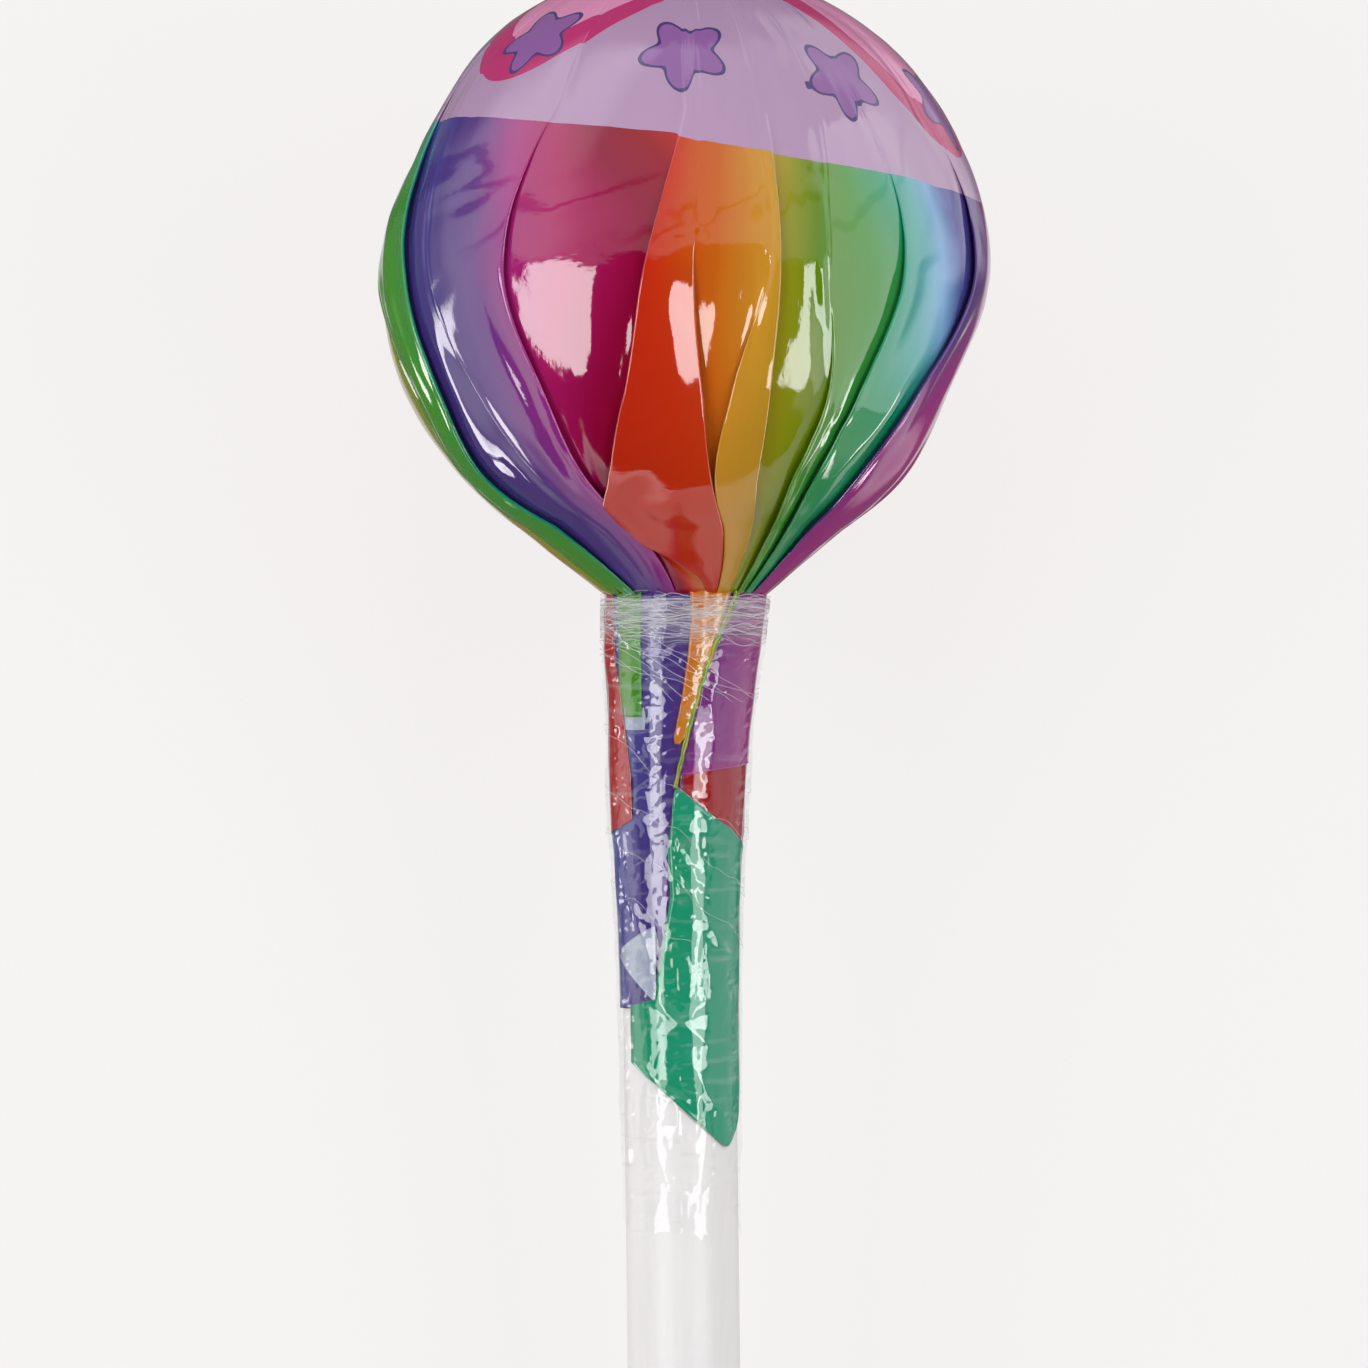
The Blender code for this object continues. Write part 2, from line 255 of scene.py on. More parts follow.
# Slack film that sinks, or puffs up where its depth is below 0, beside a pleat: the number of the fold line
# that it follows, the stations where it begins, is deepest and ends, how far its left edge, its deepest line
# and its right edge lie from the fold line, and its depth
SLACK = (
    (5, 85, 100, 134, -7, 0.3, 7.2, 2.3),
    (7, 86, 97, 124, -11.5, -4.2, -1.8, 0.9),
    (4, 92, 104, 126, -8, -3, -0.6, 0.6),
    (8, 90, 104, 128, -4, -1.6, 0, 0.35),
    (3, 84, 108, 156, -4.4, -3.2, -1.6, 0.4),
    (1, 96, 116, 140, 2, 6, 13.3, -0.9),
    (10, 100, 116, 138, -12, -6.5, -3, -0.9),
    (10, 62, 80, 98, -20, -11, -5, 0.9),
    (3, 60, 74, 92, -27, -14, -4, 0.9),
    (9, 80, 96, 116, 3, 7, 13, 0.7),
    (1, 74, 92, 112, -9, -4, -1, 0.8),
    (10, 92, 112, 140, 3, 7, 14, 0.9),
    (4, 128, 140, 154, 3, 9, 16, 0.7),
    (4, 28, 50, 74, -5, 0, 4, 0.5),
    (5, 80, 88, 98, 0.4, 2.4, 4.6, -0.5),
    (4, 94, 103, 116, -9, -6.5, -4, -0.45),
    (8, 85, 94, 112, -2.6, -1.4, -0.3, -0.35),
    (2, 120, 136, 150, -9, -6, -3, -0.6),
    (11, 110, 128, 146, -9, -5, -2, 0.6),
    (7, 32, 52, 72, -4, 0, 5, 0.4),
    (10, 28, 55, 78, -7, -2, 4, 0.5),
    (3, 34, 54, 66, -5, 1, 7, 0.5),
)
# Creases pulled across the ball: two ends as (station, azimuth), and the depth of the ledge below the line
CREASES = (
    ((81.6, -66), (73.5, -37), 0.16),
    ((77.5, -62), (69, -40), 0.12),
    ((84.4, -36), (76.5, -12), 0.16),
    ((74, -30), (71, -14), 0.1),
    ((85.5, -6), (82, 8), 0.13),
    ((82, 6), (74, 19), 0.12),
    ((72, 4), (76, 17), 0.1),
    ((70, 22), (74, 38), 0.1),
    ((96, -60), (84, -42), 0.14),
    ((92, 44), (84, 66), 0.14),
    ((124, 26), (118, 44), 0.14),
    ((131, 20), (138, 30), 0.16),
    ((142, -16), (147, 6), 0.16),
    ((126, -58), (133, -42), 0.14),
)
CREASE_FALL = 1.6
CREASE_RETURN = 4.4
# How far the sheet azimuths beside some fold lines drift on towards the neck, before and after the line, and
# where the print's shift begins if that is above the fold
DRIFT = {3: (0, 7), 4: (3, 0), 9: (0, -5), 10: (-22, 12)}
PRINT_GROWTH = 32.0
PRINT_BEGINS = {4: 51}
PANEL_COLUMNS = 15
PANEL_BULGE = 0.3 * MM
PLEAT_TUCK = 2.6 * MM
LIP_R = 0.32 * MM
CROWN_SPREAD = 1.2


def eased(share):
    """A share from 0 to 1 with a soft start and end."""
    share = min(1.0, max(0.0, share))
    return share * share * (3 - 2 * share)


def smooth_between(places, values, at):
    """The value at a place on the smooth curve that runs through the values at rising places."""
    if at <= places[0]:
        return values[0]
    if at >= places[-1]:
        return values[-1]
    i = max(k for k in range(len(places) - 1) if places[k] <= at)

    def slope(k):
        before, after = max(k - 1, 0), min(k + 1, len(places) - 1)
        return (values[after] - values[before]) / (places[after] - places[before])

    span = places[i + 1] - places[i]
    t = (at - places[i]) / span
    ends = values[i] * (1 - t) ** 2 * (1 + 2 * t) + values[i + 1] * t * t * (3 - 2 * t)
    turns = slope(i) * t * (1 - t) ** 2 - slope(i + 1) * t * t * (1 - t)
    return ends + turns * span


def mixed(ends, share):
    """The value at a share of the way from the first end to the second."""
    return ends[0] + (ends[1] - ends[0]) * share


def wrapped(azimuth):
    """An azimuth brought to -180 to 180."""
    return (azimuth + 180) % 360 - 180


def stem_x(depth):
    """The middle of the wrapped stem, which the gathered film shifts from the stick near the neck."""
    shift = max(0.0, 1 - depth / STEM_SHIFT_END)
    return stick_x(NECK_Z - depth) + STEM_SHIFT * shift * shift


def between(table, at):
    """The value at a place in a table of (place, value) pairs, on straight lines from pair to pair."""
    if at <= table[0][0]:
        return table[0][1]
    for (low, a), (high, b) in zip(table, table[1:]):
        if at <= high:
            return a + (b - a) * (at - low) / (high - low)
    return table[-1][1]


def beside_line(run, here):
    """How far along a line a place lies, from 0 to 1, and how far to its lower side."""
    length = math.hypot(*run)
    share = (here[0] * run[0] + here[1] * run[1]) / length ** 2
    return share, (run[0] * here[1] - run[1] * here[0]) / length


def fold_azimuth(index, station):
    """Where a fold line runs at a station. Numbers past the last fold go on round the ball."""
    turns, fold = divmod(index, len(FOLDS))
    if fold == CUT_FOLD and station > CUT_EDGE[0][0]:
        return between(CUT_EDGE, station) + 360 * turns
    return smooth_between(FOLD_STATIONS, FOLDS[fold][0], station) + 360 * turns


def growth(index, station):
    """How far a pleat has opened at a station, from 0 to 1."""
    return eased((station - FOLDS[index % len(FOLDS)][2]) / PLEAT_GROWTH)


def print_azimuth(index, station, side):
    """The azimuth on the flat sheet of the film that meets a fold line, before it (0) or after it (1)."""
    turns, fold = divmod(index, len(FOLDS))
    crown_azimuths, _, begins, meeting = FOLDS[fold]
    grown = eased((station - PRINT_BEGINS.get(fold, begins)) / PRINT_GROWTH)
    below = 30 * eased((station - 146) / 10) if fold == CUT_FOLD and side == 0 else 0
    below += DRIFT.get(fold, (0, 0))[side] * eased((station - 90) / 36)
    return mixed((crown_azimuths[0], meeting[side]), grown) + below + 360 * turns


def tuck_path(width):
    """A pleat's hidden run, (sideways, down), from its top edge down to the flap below."""
    drop = PLEAT_HIGH - PLEAT_LOW
    path = []
    for turn in (30, 75, 115, 155):
        a = math.radians(turn)
        path.append((LIP_R * math.sin(a), LIP_R * (1 - math.cos(a))))
    path += [(-0.3 * width, 0.40 * drop), (-0.65 * width, 0.50 * drop), (-0.95 * width, 0.60 * drop)]
    path += [(-width, 0.72 * drop), (-0.92 * width, 0.84 * drop), (-0.55 * width, 0.93 * drop)]
    path.append((-0.2 * width, 0.98 * drop))
    return path


def film_row(station):
    """A ring of film: (azimuth, height, azimuth on the sheet, azimuth at the crown) for each point."""
    row = []
    reach = BALL_R * math.sin(math.radians(min(station, SPHERE_END)))
    drawn_in = max(0.0, station - SPHERE_END) / (NECK_STATION - SPHERE_END)
    reach += (NECK_R - reach) * drawn_in
    degrees = math.degrees(1 / reach)
    for panel in range(len(FOLDS)):
        grown_from, grown_to = growth(panel, station), growth(panel + 1, station)
        start = fold_azimuth(panel, station) + CROWN_SPREAD / 2 * (1 - grown_from)
        end = fold_azimuth(panel + 1, station) - CROWN_SPREAD / 2 * (1 - grown_to)
        next_on_top = FOLDS[(panel + 1) % len(FOLDS)][1]
        low = grown_from * (PLEAT_HIGH if FOLDS[panel][1] < 0 else PLEAT_LOW)
        high = grown_to * (PLEAT_HIGH if next_on_top > 0 else PLEAT_LOW)
        sheet = print_azimuth(panel, station, 1), print_azimuth(panel + 1, station, 0)
        crown = fold_azimuth(panel, 0) + CROWN_SPREAD / 2, fold_azimuth(panel + 1, 0) - CROWN_SPREAD / 2
        bulge = PANEL_BULGE * (grown_from + grown_to) / 2 * min(1.0, (end - start) / 24)
        for k in range(PANEL_COLUMNS):
            t = (1 - math.cos(math.pi * k / (PANEL_COLUMNS - 1))) / 2
            height = mixed((low, high), t) + bulge * math.sin(math.pi * t)
            row.append((mixed((start, end), t), height, mixed(sheet, t), mixed(crown, t)))
        beyond = fold_azimuth(panel + 2, station) if next_on_top < 0 else fold_azimuth(panel, station)
        room = abs(beyond - fold_azimuth(panel + 1, station)) / degrees
        path = tuck_path(min(PLEAT_TUCK, 0.4 * room))
        if next_on_top < 0:
            path = [(-across, down) for across, down in reversed(path)]
        line = fold_azimuth(panel + 1, station)
        folded = print_azimuth(panel + 1, station, 0), print_azimuth(panel + 1, station, 1)
        at_crown = fold_azimuth(panel + 1, 0)
        for k, (across, down) in enumerate(path):
            share = (k + 1) / (len(path) + 1)
            spread = CROWN_SPREAD * (share - 0.5)
            azimuth = line + grown_to * across * degrees + (1 - grown_to) * spread
            height = grown_to * (PLEAT_HIGH - down)
            row.append((azimuth, height, mixed(folded, share), at_crown + spread))
    return row


def drawn_tight(station, azimuth):
    """How far the film lies inside the ball's outline where it is drawn flat."""
    depth = 0.0
    for at_station, at_azimuth, deepest, tall, wide in FLATS:
        away = math.hypot((station - at_station) / tall, wrapped(azimuth - at_azimuth) / wide)
        depth = max(depth, deepest * eased(1 - away))
    return depth * MM


def sunk(station, azimuth):
    """How far slack film and pulled creases bring the film inwards."""
    azimuth = wrapped(azimuth)
    depth = 0.0
    for fold, begins, deepest, ends, left, line, right, most in SLACK:
        beside = wrapped(azimuth - fold_azimuth(fold, station))
        if begins < station < ends and left < beside < right:
            down = (station - begins) / (deepest - begins) if station < deepest else 0.0
            down = down or (ends - station) / (ends - deepest)
            across = (beside - left) / (line - left) if beside < line else (right - beside) / (right - line)
            depth += most * eased(down) * (0.75 * across + 0.25 * eased(across))
    for (station_a, azimuth_a), (station_b, azimuth_b), most in CREASES:
        narrow = math.sin(math.radians((station_a + station_b) / 2))
        run = ((azimuth_b - azimuth_a) * narrow, station_b - station_a)
        here = ((azimuth - azimuth_a) * narrow, station - station_a)
        share, below = beside_line(run, here)
        if 0 < share < 1 and 0 < below < CREASE_FALL + CREASE_RETURN:
            taper = eased(4 * share * (1 - share))
            ledge = eased(below / CREASE_FALL) * eased(1 - (below - CREASE_FALL) / CREASE_RETURN)
            depth += most * taper * ledge
    return depth * MM


def ball_point(station, azimuth, height):
    """A point of the film on the ball, or on the cone that draws in to the neck."""
    on_ball = math.radians(min(station, SPHERE_END))
    drawn_in = max(0.0, station - SPHERE_END) / (NECK_STATION - SPHERE_END)
    reach = BALL_R + height - drawn_tight(station, azimuth) - sunk(station, azimuth)
    radius, z = reach * math.sin(on_ball), reach * math.cos(on_ball)
    radius += (NECK_R + min(0.0, height) * NECK_FOLD_SHARE - radius) * drawn_in
    z += (NECK_Z - z) * drawn_in
    return around(stem_x(0) * drawn_in, radius, azimuth, z)


def along_film(station):
    """How far a station is from the crown along the film."""
    cone = math.hypot(BALL_R * math.sin(math.radians(SPHERE_END)) - NECK_R, NECK_Z * 0.2)
    beyond = max(0.0, station - SPHERE_END) / (NECK_STATION - SPHERE_END)
    return BALL_R * math.radians(min(station, SPHERE_END)) + cone * beyond


def on_sheet(azimuth, distance):
    """The place of a bit of film on the flat sheet, from 0 to 1 each way."""
    turn = math.radians(azimuth)
    return 0.5 + distance * math.sin(turn) / SHEET_SIDE, 0.5 - distance * math.cos(turn) / SHEET_SIDE


def film_object(name, rows, row_length, closed, material):
    """Film from rows of (point, azimuth on the sheet, distance on the sheet, azimuth at the crown)."""
    points = [p for row in rows for p, *_ in row]
    faces = grid_faces(len(rows), row_length, closed)
    if closed:
        tip = len(points)
        points.append(around(0, 0, 0, BALL_R))
        faces += [(i, (i + 1) % row_length, tip) for i in range(row_length)]
    made = lay_down(name, points, faces, material)
    mesh = made.data
    cells = [c for row in rows for c in row]
    sheet = mesh.uv_layers.new(name="sheet")
    for loop, uv in zip(mesh.loops, sheet.data):
        if loop.vertex_index < len(cells):
            _, azimuth, distance, _ = cells[loop.vertex_index]
            uv.uv = on_sheet(azimuth, distance)
        else:
            uv.uv = (0.5, 0.5)
    pull = mesh.attributes.new("pull", "FLOAT_VECTOR", "POINT")
    for vertex in range(len(points)):
        if vertex < len(cells):
            _, _, distance, crown = cells[vertex]
            pull.data[vertex].vector = (crown, distance / MM, 0)
    return made


# The print: a rainbow that goes round the sheet's middle once every 120 degrees, from an azimuth on the
# sheet, and on the crown a lilac cap with petals and a ring of stars, in mm on the sheet
RAINBOW_START = -87.0
RAINBOW_TURN = 120.0
RAINBOW = (
    (0.00, "#3F8E26"), (0.05, "#12946A"), (0.10, "#3F9FA0"), (0.145, "#76A8D4"), (0.19, "#4A5098"),
    (0.25, "#44307A"), (0.33, "#5E3480"), (0.41, "#A0267C"), (0.49, "#A6165C"), (0.55, "#8A0836"),
    (0.61, "#90081E"), (0.66, "#B01C14"), (0.70, "#C03012"), (0.785, "#C25E14"), (0.85, "#C68C2A"),
    (0.92, "#8C9018"), (0.96, "#5E840E"),
)
CAP_CENTRE = (8.0, 2.8)
CAP_R = 63.4
PETALS = 3
PETAL_AZIMUTH = 66
PETAL_BASE = 22.0
PETAL_LENGTH = 34.0
PETAL_RIM = 9.0
EYE_R = 15.0
EYE_MIDDLE_R = 9.0
STAR_RING = 45.5
STARS = 9
STAR_R = 6.4
STAR_POINT = 1.7
STAR_RIM = 0.8
MATH = "ShaderNodeMath"
VECTOR_MATH = "ShaderNodeVectorMath"


def printed_film(name, ior):
    """Reverse-printed polypropylene: full colour under a mirror-smooth clear face with fine pull marks."""
    made, tree = new_material(name)
    uv = add(tree, "ShaderNodeUVMap", uv_map="sheet")
    side = SHEET_SIDE / MM
    spread = (uv, (side, side, 0), (-side / 2, -side / 2, 0))
    flat = add(tree, VECTOR_MATH, spread, operation="MULTIPLY_ADD")
    cap = add(tree, VECTOR_MATH, (flat, (*CAP_CENTRE, 0)), operation="SUBTRACT")
    cap_r = add(tree, VECTOR_MATH, (cap,), operation="LENGTH").outputs["Value"]
    turns = []
    for place in (flat, cap):
        at = add(tree, "ShaderNodeSeparateXYZ", (place,)).outputs
        up = add(tree, MATH, (at[1], -1.0), operation="MULTIPLY")
        turns.append(add(tree, MATH, (at[0], up), operation="ARCTAN2"))

    # The share of a rainbow's cycle that has passed, for the colours of the whole sheet
    cycle = (turns[0], 180 / math.pi / RAINBOW_TURN, -RAINBOW_START / RAINBOW_TURN)
    cycle = add(tree, MATH, cycle, operation="MULTIPLY_ADD")
    cycle = add(tree, MATH, (cycle,), operation="FRACT")
    colour = add(tree, "ShaderNodeValToRGB", (cycle,))
    stops = colour.color_ramp.elements
    stops[0].color = linear(RAINBOW[0][1])
    stops[1].color = linear(RAINBOW[0][1])
    for place, shade in RAINBOW[1:]:
        stops.new(place).color = linear(shade)

    # How far the petals reach at this turn round the cap
    lobes = (turns[1], PETALS / 2, -math.radians(PETALS / 2 * PETAL_AZIMUTH))
    for operation in ("MULTIPLY_ADD", "COSINE", "ABSOLUTE"):
        lobes = (add(tree, MATH, lobes, operation=operation),)
    lobes = add(tree, MATH, (*lobes, 3.0), operation="POWER")
    petal_r = add(tree, MATH, (lobes, PETAL_LENGTH, PETAL_BASE), operation="MULTIPLY_ADD")
    inner_r = add(tree, MATH, (petal_r, PETAL_RIM), operation="SUBTRACT")

    # The nearest star of the ring, upright in its own sector, and its five-pointed outline
    sector = (turns[1], STARS / math.tau, STARS / 2 + 0.25)
    sector = add(tree, MATH, sector, operation="MULTIPLY_ADD")
    sector = add(tree, MATH, (sector,), operation="FRACT")
    off = add(tree, MATH, (sector, math.tau / STARS, -math.pi / STARS), operation="MULTIPLY_ADD")
    sine = add(tree, MATH, (off,), operation="SINE")
    cosine = add(tree, MATH, (off,), operation="COSINE")
    star_x = add(tree, MATH, (cap_r, sine), operation="MULTIPLY")
    star_y = add(tree, MATH, (cap_r, cosine, -STAR_RING), operation="MULTIPLY_ADD")
    star_at = add(tree, "ShaderNodeCombineXYZ", (star_x, star_y))
    star_r = add(tree, VECTOR_MATH, (star_at,), operation="LENGTH").outputs["Value"]
    point = add(tree, MATH, (star_x, star_y), operation="ARCTAN2")
    point = add(tree, MATH, (point, 5.0), operation="MULTIPLY")
    point = add(tree, MATH, (point,), operation="COSINE")
    edge = add(tree, MATH, (point, STAR_POINT, STAR_R), operation="MULTIPLY_ADD")
    rim = add(tree, MATH, (edge, STAR_RIM))

    for distance, reach, shade in (
        (cap_r, CAP_R, "#AE8EB0"),
        (cap_r, petal_r, "#B8306E"),
        (cap_r, inner_r, "#D98CB4"),
        (cap_r, EYE_R, "#8FC3DE"),
        (cap_r, EYE_MIDDLE_R, "#E9E2EE"),
        (star_r, rim, "#4A3A70"),
        (star_r, edge, "#8C5C9C"),
    ):
        inside = add(tree, MATH, (distance, reach), operation="LESS_THAN")
        inks = {0: inside, 6: colour, 7: linear(shade)}
        colour = add(tree, "ShaderNodeMix", inks, data_type="RGBA").outputs[2]

    # Pull marks about 1.1 mm apart
    marks = add(tree, VECTOR_MATH, {0: flat, "Scale": 0.9}, operation="SCALE")
    marks = add(tree, "ShaderNodeTexNoise", {"Vector": marks, "Scale": 1.0, "Detail": 3.0})
    bump = add(tree, "ShaderNodeBump", {"Height": marks, "Strength": 0.12, "Distance": 0.12 * MM})
    look = {"Base Color": colour, "Roughness": 0.05, "IOR": ior, "Normal": bump}
    skin = add(tree, "ShaderNodeBsdfPrincipled", look)
    add(tree, "ShaderNodeOutputMaterial", {"Surface": skin})
    return made


def new_tree(name, sizes):
    """A node tree that changes a piece, its named inputs with their default values, and their sockets."""
    tree = bpy.data.node_groups.new(name, "GeometryNodeTree")
    for way in ("INPUT", "OUTPUT"):
        tree.interface.new_socket("Geometry", in_out=way, socket_type="NodeSocketGeometry")
    kinds = {float: "NodeSocketFloat", int: "NodeSocketInt", tuple: "NodeSocketVector"}
    for label, value in sizes.items():
        socket = tree.interface.new_socket(label, in_out="INPUT", socket_type=kinds[type(value)])
        socket.default_value = value
    tree.interface.new_socket("Material", in_out="INPUT", socket_type="NodeSocketMaterial")
    return tree, tree.nodes.new("NodeGroupInput").outputs


def end_tree(tree, geometry, material):
    """Ends a tree with real geometry in one material."""
    real = add(tree, "GeometryNodeRealizeInstances", {"Geometry": geometry})
    done = add(tree, "GeometryNodeSetMaterial", {"Geometry": real, "Material": material})
    add(tree, "NodeGroupOutput", (done,))
    return tree


def pull_wrinkles():
    """A tree that draws film into pull marks down its length and flats between creases."""
    sizes = {
        "Mark width": 3.4,
        "Mark length": 34.0,
        "Mark height": 0.1 * MM,
        "Flat width": 12.0,
        "Flat length": 19.0,
        "Flat height": 0.5 * MM,
        "Seed": 3.0,
        "Centre": (0.0, 0.0, 0.0),
    }
    tree, given = new_tree("pull_wrinkles", sizes)
    pull = add(tree, "GeometryNodeInputNamedAttribute", {"Name": "pull"}, data_type="FLOAT_VECTOR")
    at = add(tree, "ShaderNodeSeparateXYZ", (pull,)).outputs
    spots = []
    for kind in ("Mark", "Flat"):
        across = add(tree, MATH, (at[0], given[f"{kind} width"]), operation="DIVIDE")
        along = add(tree, MATH, (at[1], given[f"{kind} length"]), operation="DIVIDE")
        spots.append(add(tree, "ShaderNodeCombineXYZ", (across, along, given["Seed"])))
    marks = add(tree, "ShaderNodeTexNoise", {"Vector": spots[0], "Scale": 1.0, "Detail": 2.0})
    marks = add(tree, MATH, (marks, 0.5), operation="SUBTRACT")
    marks = add(tree, MATH, (marks,), operation="ABSOLUTE")
    mark_height = add(tree, MATH, (given["Mark height"], -8.0), operation="MULTIPLY")
    marks = add(tree, MATH, (marks, mark_height), operation="MULTIPLY")
    warp = add(tree, "ShaderNodeTexNoise", {"Vector": spots[1], "Scale": 1.3, "Detail": 1.0}).outputs[1]
    warp = add(tree, VECTOR_MATH, (warp, (0.9, 0.9, 0), spots[1]), operation="MULTIPLY_ADD")
    cells = {"Vector": warp, "Scale": 1.0, "Smoothness": 0.15}
    flats = add(tree, "ShaderNodeTexVoronoi", cells, feature="SMOOTH_F1")
    flats = add(tree, MATH, (flats, -1.0), operation="MULTIPLY")
    flats = add(tree, MATH, (flats, given["Flat height"]), operation="MULTIPLY")
    fade = add(tree, "ShaderNodeMapRange", (at[1], 8.0, 30.0))
    height = add(tree, MATH, (marks, flats))
    height = add(tree, MATH, (height, fade), operation="MULTIPLY")
    place = add(tree, "GeometryNodeInputPosition")
    outwards = add(tree, VECTOR_MATH, (place, given["Centre"]), operation="SUBTRACT")
    outwards = add(tree, VECTOR_MATH, (outwards,), operation="NORMALIZE")
    offset = add(tree, VECTOR_MATH, {0: outwards, "Scale": height}, operation="SCALE")
    moved = add(tree, "GeometryNodeSetPosition", {"Geometry": given["Geometry"], "Offset": offset})
    return end_tree(tree, moved, given["Material"])


def grow(piece, tree, **values):
    """Runs a tree on a piece with named inputs, and keeps the result as its plain mesh."""
    modifier = piece.modifiers.new(tree.name, "NODES")
    modifier.node_group = tree
    named = {item.name: item.identifier for item in tree.interface.items_tree if item.in_out == "INPUT"}
    for name, value in values.items():
        modifier[named[name.replace("_", " ")]] = value
    bpy.context.view_layer.update()
    evaluated = piece.evaluated_get(bpy.context.evaluated_depsgraph_get())
    mesh = bpy.data.meshes.new_from_object(evaluated)
    piece.modifiers.remove(modifier)
    piece.data = mesh
    for vertex in mesh.vertices:
        vertex.co.z = max(vertex.co.z, 0.0)
    mesh.shade_smooth()


# Rows of the film from the crown to the neck, in runs: the first station, the step and the count
STATIONS = ((3, 3, 7), (24, 1, 36), (60, 0.7, 62), (103.4, 1.01, 57))
film_print = printed_film("printed_polypropylene_film", 1.49)
wrinkles = pull_wrinkles()
stations = [first + step * k for first, step, count in STATIONS for k in range(count)]
film_rows = [[(ball_point(s, a, h), u, along_film(s), c) for a, h, u, c in film_row(s)] for s in stations]
ball_film = film_object("ball_film", film_rows, len(film_rows[0]), True, film_print)
grow(ball_film, wrinkles, Centre=(0.0, 0.0, REST_HEIGHT), Material=film_print)
belongs(ball_film, "wrapped_ball")


# The film's tails
# The corners and edges of the same square, gathered at the neck and laid down the stick in overlapping
# strips. One corner is rolled up by hand, and one is folded over so that its unprinted back shows.

# The stretch film's outline over the tails: (depth below the neck, radius) in mm
SLEEVE = (
    (0.4, 14.6), (9, 14.2), (16, 13.4), (26, 12.75), (40, 12.35), (44, 11.75), (57, 11.2),
    (64, 10.9), (94, 10.75), (97, 10.4), (111, 10.3),
)
TAIL_COLUMNS = 22
TAIL_ROWS = 90
# Each tail: its layer outwards, the sheet azimuths at its edges, and (depth, left, right) down its length
TAILS = (
    (0, (-66, -54), ((-1, -70, 6), (20, -72, 6), (38, -80, 4), (48.3, -95, -6), (58.8, -95, -10),
                     (66.2, -95, -20), (68.7, -95, -27), (70.2, -90, -55))),
    (1, (-6, -10), ((-1, -125, -64), (12, -122, -57), (30.5, -118, -43), (38, -116, -41),
                    (39.4, -112, -59), (40.6, -108, -90))),
    (1, (-90, -87), ((-1, -57, -33), (10.7, -53, -32), (20.1, -54, -32), (20.6, -44, -32))),
    (1, (75, 83), ((-1, 20, 100), (9, 18, 100), (17.6, 13, 100), (24.4, 5, 100), (28.1, 2, 98),
                   (29.5, -1, 34), (30.5, -1, 3))),
    (0, (-11, -14), ((20, 8, 100), (30.5, -1, 100), (32.7, 2, 100), (36.3, 22, 99), (39.7, 50, 98),
                     (43.1, 90, 96))),
    (2, (9, 14), ((-1, 3, 33), (4.3, 5, 28), (11, 4, 18), (17.6, 1, 11), (24.2, -4, 4), (25.2, -3, 0))),
    (1, (-81, -79.5), ((32.6, -2, 0), (34.6, -4, 12), (38, -5, 35), (41.1, -7, 64), (42.8, -9, 88),
                       (51.2, -7, 98), (55.1, -11, 100), (61.9, -18, 98), (68.7, -27, 92),
                       (69.7, -54, 91), (79.3, -56, 88), (83, -25, 82), (88, 7, 78), (90.9, 26, 69),
                       (93.6, 47, 52))),
    (0, (-70, -60), ((-1, 96, 150), (20, 98, 150), (55, 100, 135), (62, 105, 112))),
    (1, (14, 24), ((-1, 140, 200), (25, 145, 195), (50, 150, 180), (66, 160, 164))),
    (0, (100, 110), ((-1, 185, 245), (30, 188, 240), (45, 200, 225))),
    (1, (60, 66), ((-1, 232, 262), (20, 234, 258), (36, 236, 240))),
)
# The folded-over corner and the short strip beside it, unprinted side out
BACKS = (
    (2, ((56.3, -24, -22), (60, -66, -22), (61.5, -72, -22), (68.7, -25, -23))),
    (0.5, ((19, -50, -30), (20.6, -50, -28), (22.8, -49, -29))),
)
# The rolled corner's path as (depth, azimuth), its radius in mm at the neck, what it loses on its way down,
# and the azimuth on the sheet of what shows
ROLL = ((-1, 38), (0.5, 37), (6, 27), (11, 20), (20, 10), (32.7, -2.5))
ROLL_R = 0.6
ROLL_THINNER = 0.28
ROLL_ROWS = 100
ROLL_SIDES = 16
ROLL_PRINT = 25
TAIL_STEP = 0.2 * MM
TAIL_UNDER_SLEEVE = 1.0 * MM
TAIL_THICK = 0.05 * MM
TAIL_CURL = 0.16 * MM
# Slow waves and pull marks of the tails: width in degrees, length in mm, seed and height in mm
TAIL_WAVES = ((24, 8, 3.3, 0.25), (9, 26, 9.1, 0.14))


def stem_point(depth, azimuth, radius):
    """A point round the wrapped stem."""
    return around(stem_x(max(0.0, depth) * MM), radius, azimuth, NECK_Z - depth * MM)


def tail_point(depth, azimuth, layer, edge):
    """A point of a tail on the stem, with slow waves, and edges that stand off a little."""
    radius = between(SLEEVE, depth) * MM - TAIL_UNDER_SLEEVE + layer * TAIL_STEP
    for wide, tall, seed, high in TAIL_WAVES:
        radius += noise.noise(Vector((azimuth / wide, depth / tall, seed))) * high * MM
    radius += TAIL_CURL * eased((edge - 0.86) / 0.14)
    return stem_point(depth, azimuth, max(radius, STICK_R + 0.12 * MM + layer * 0.1 * MM))


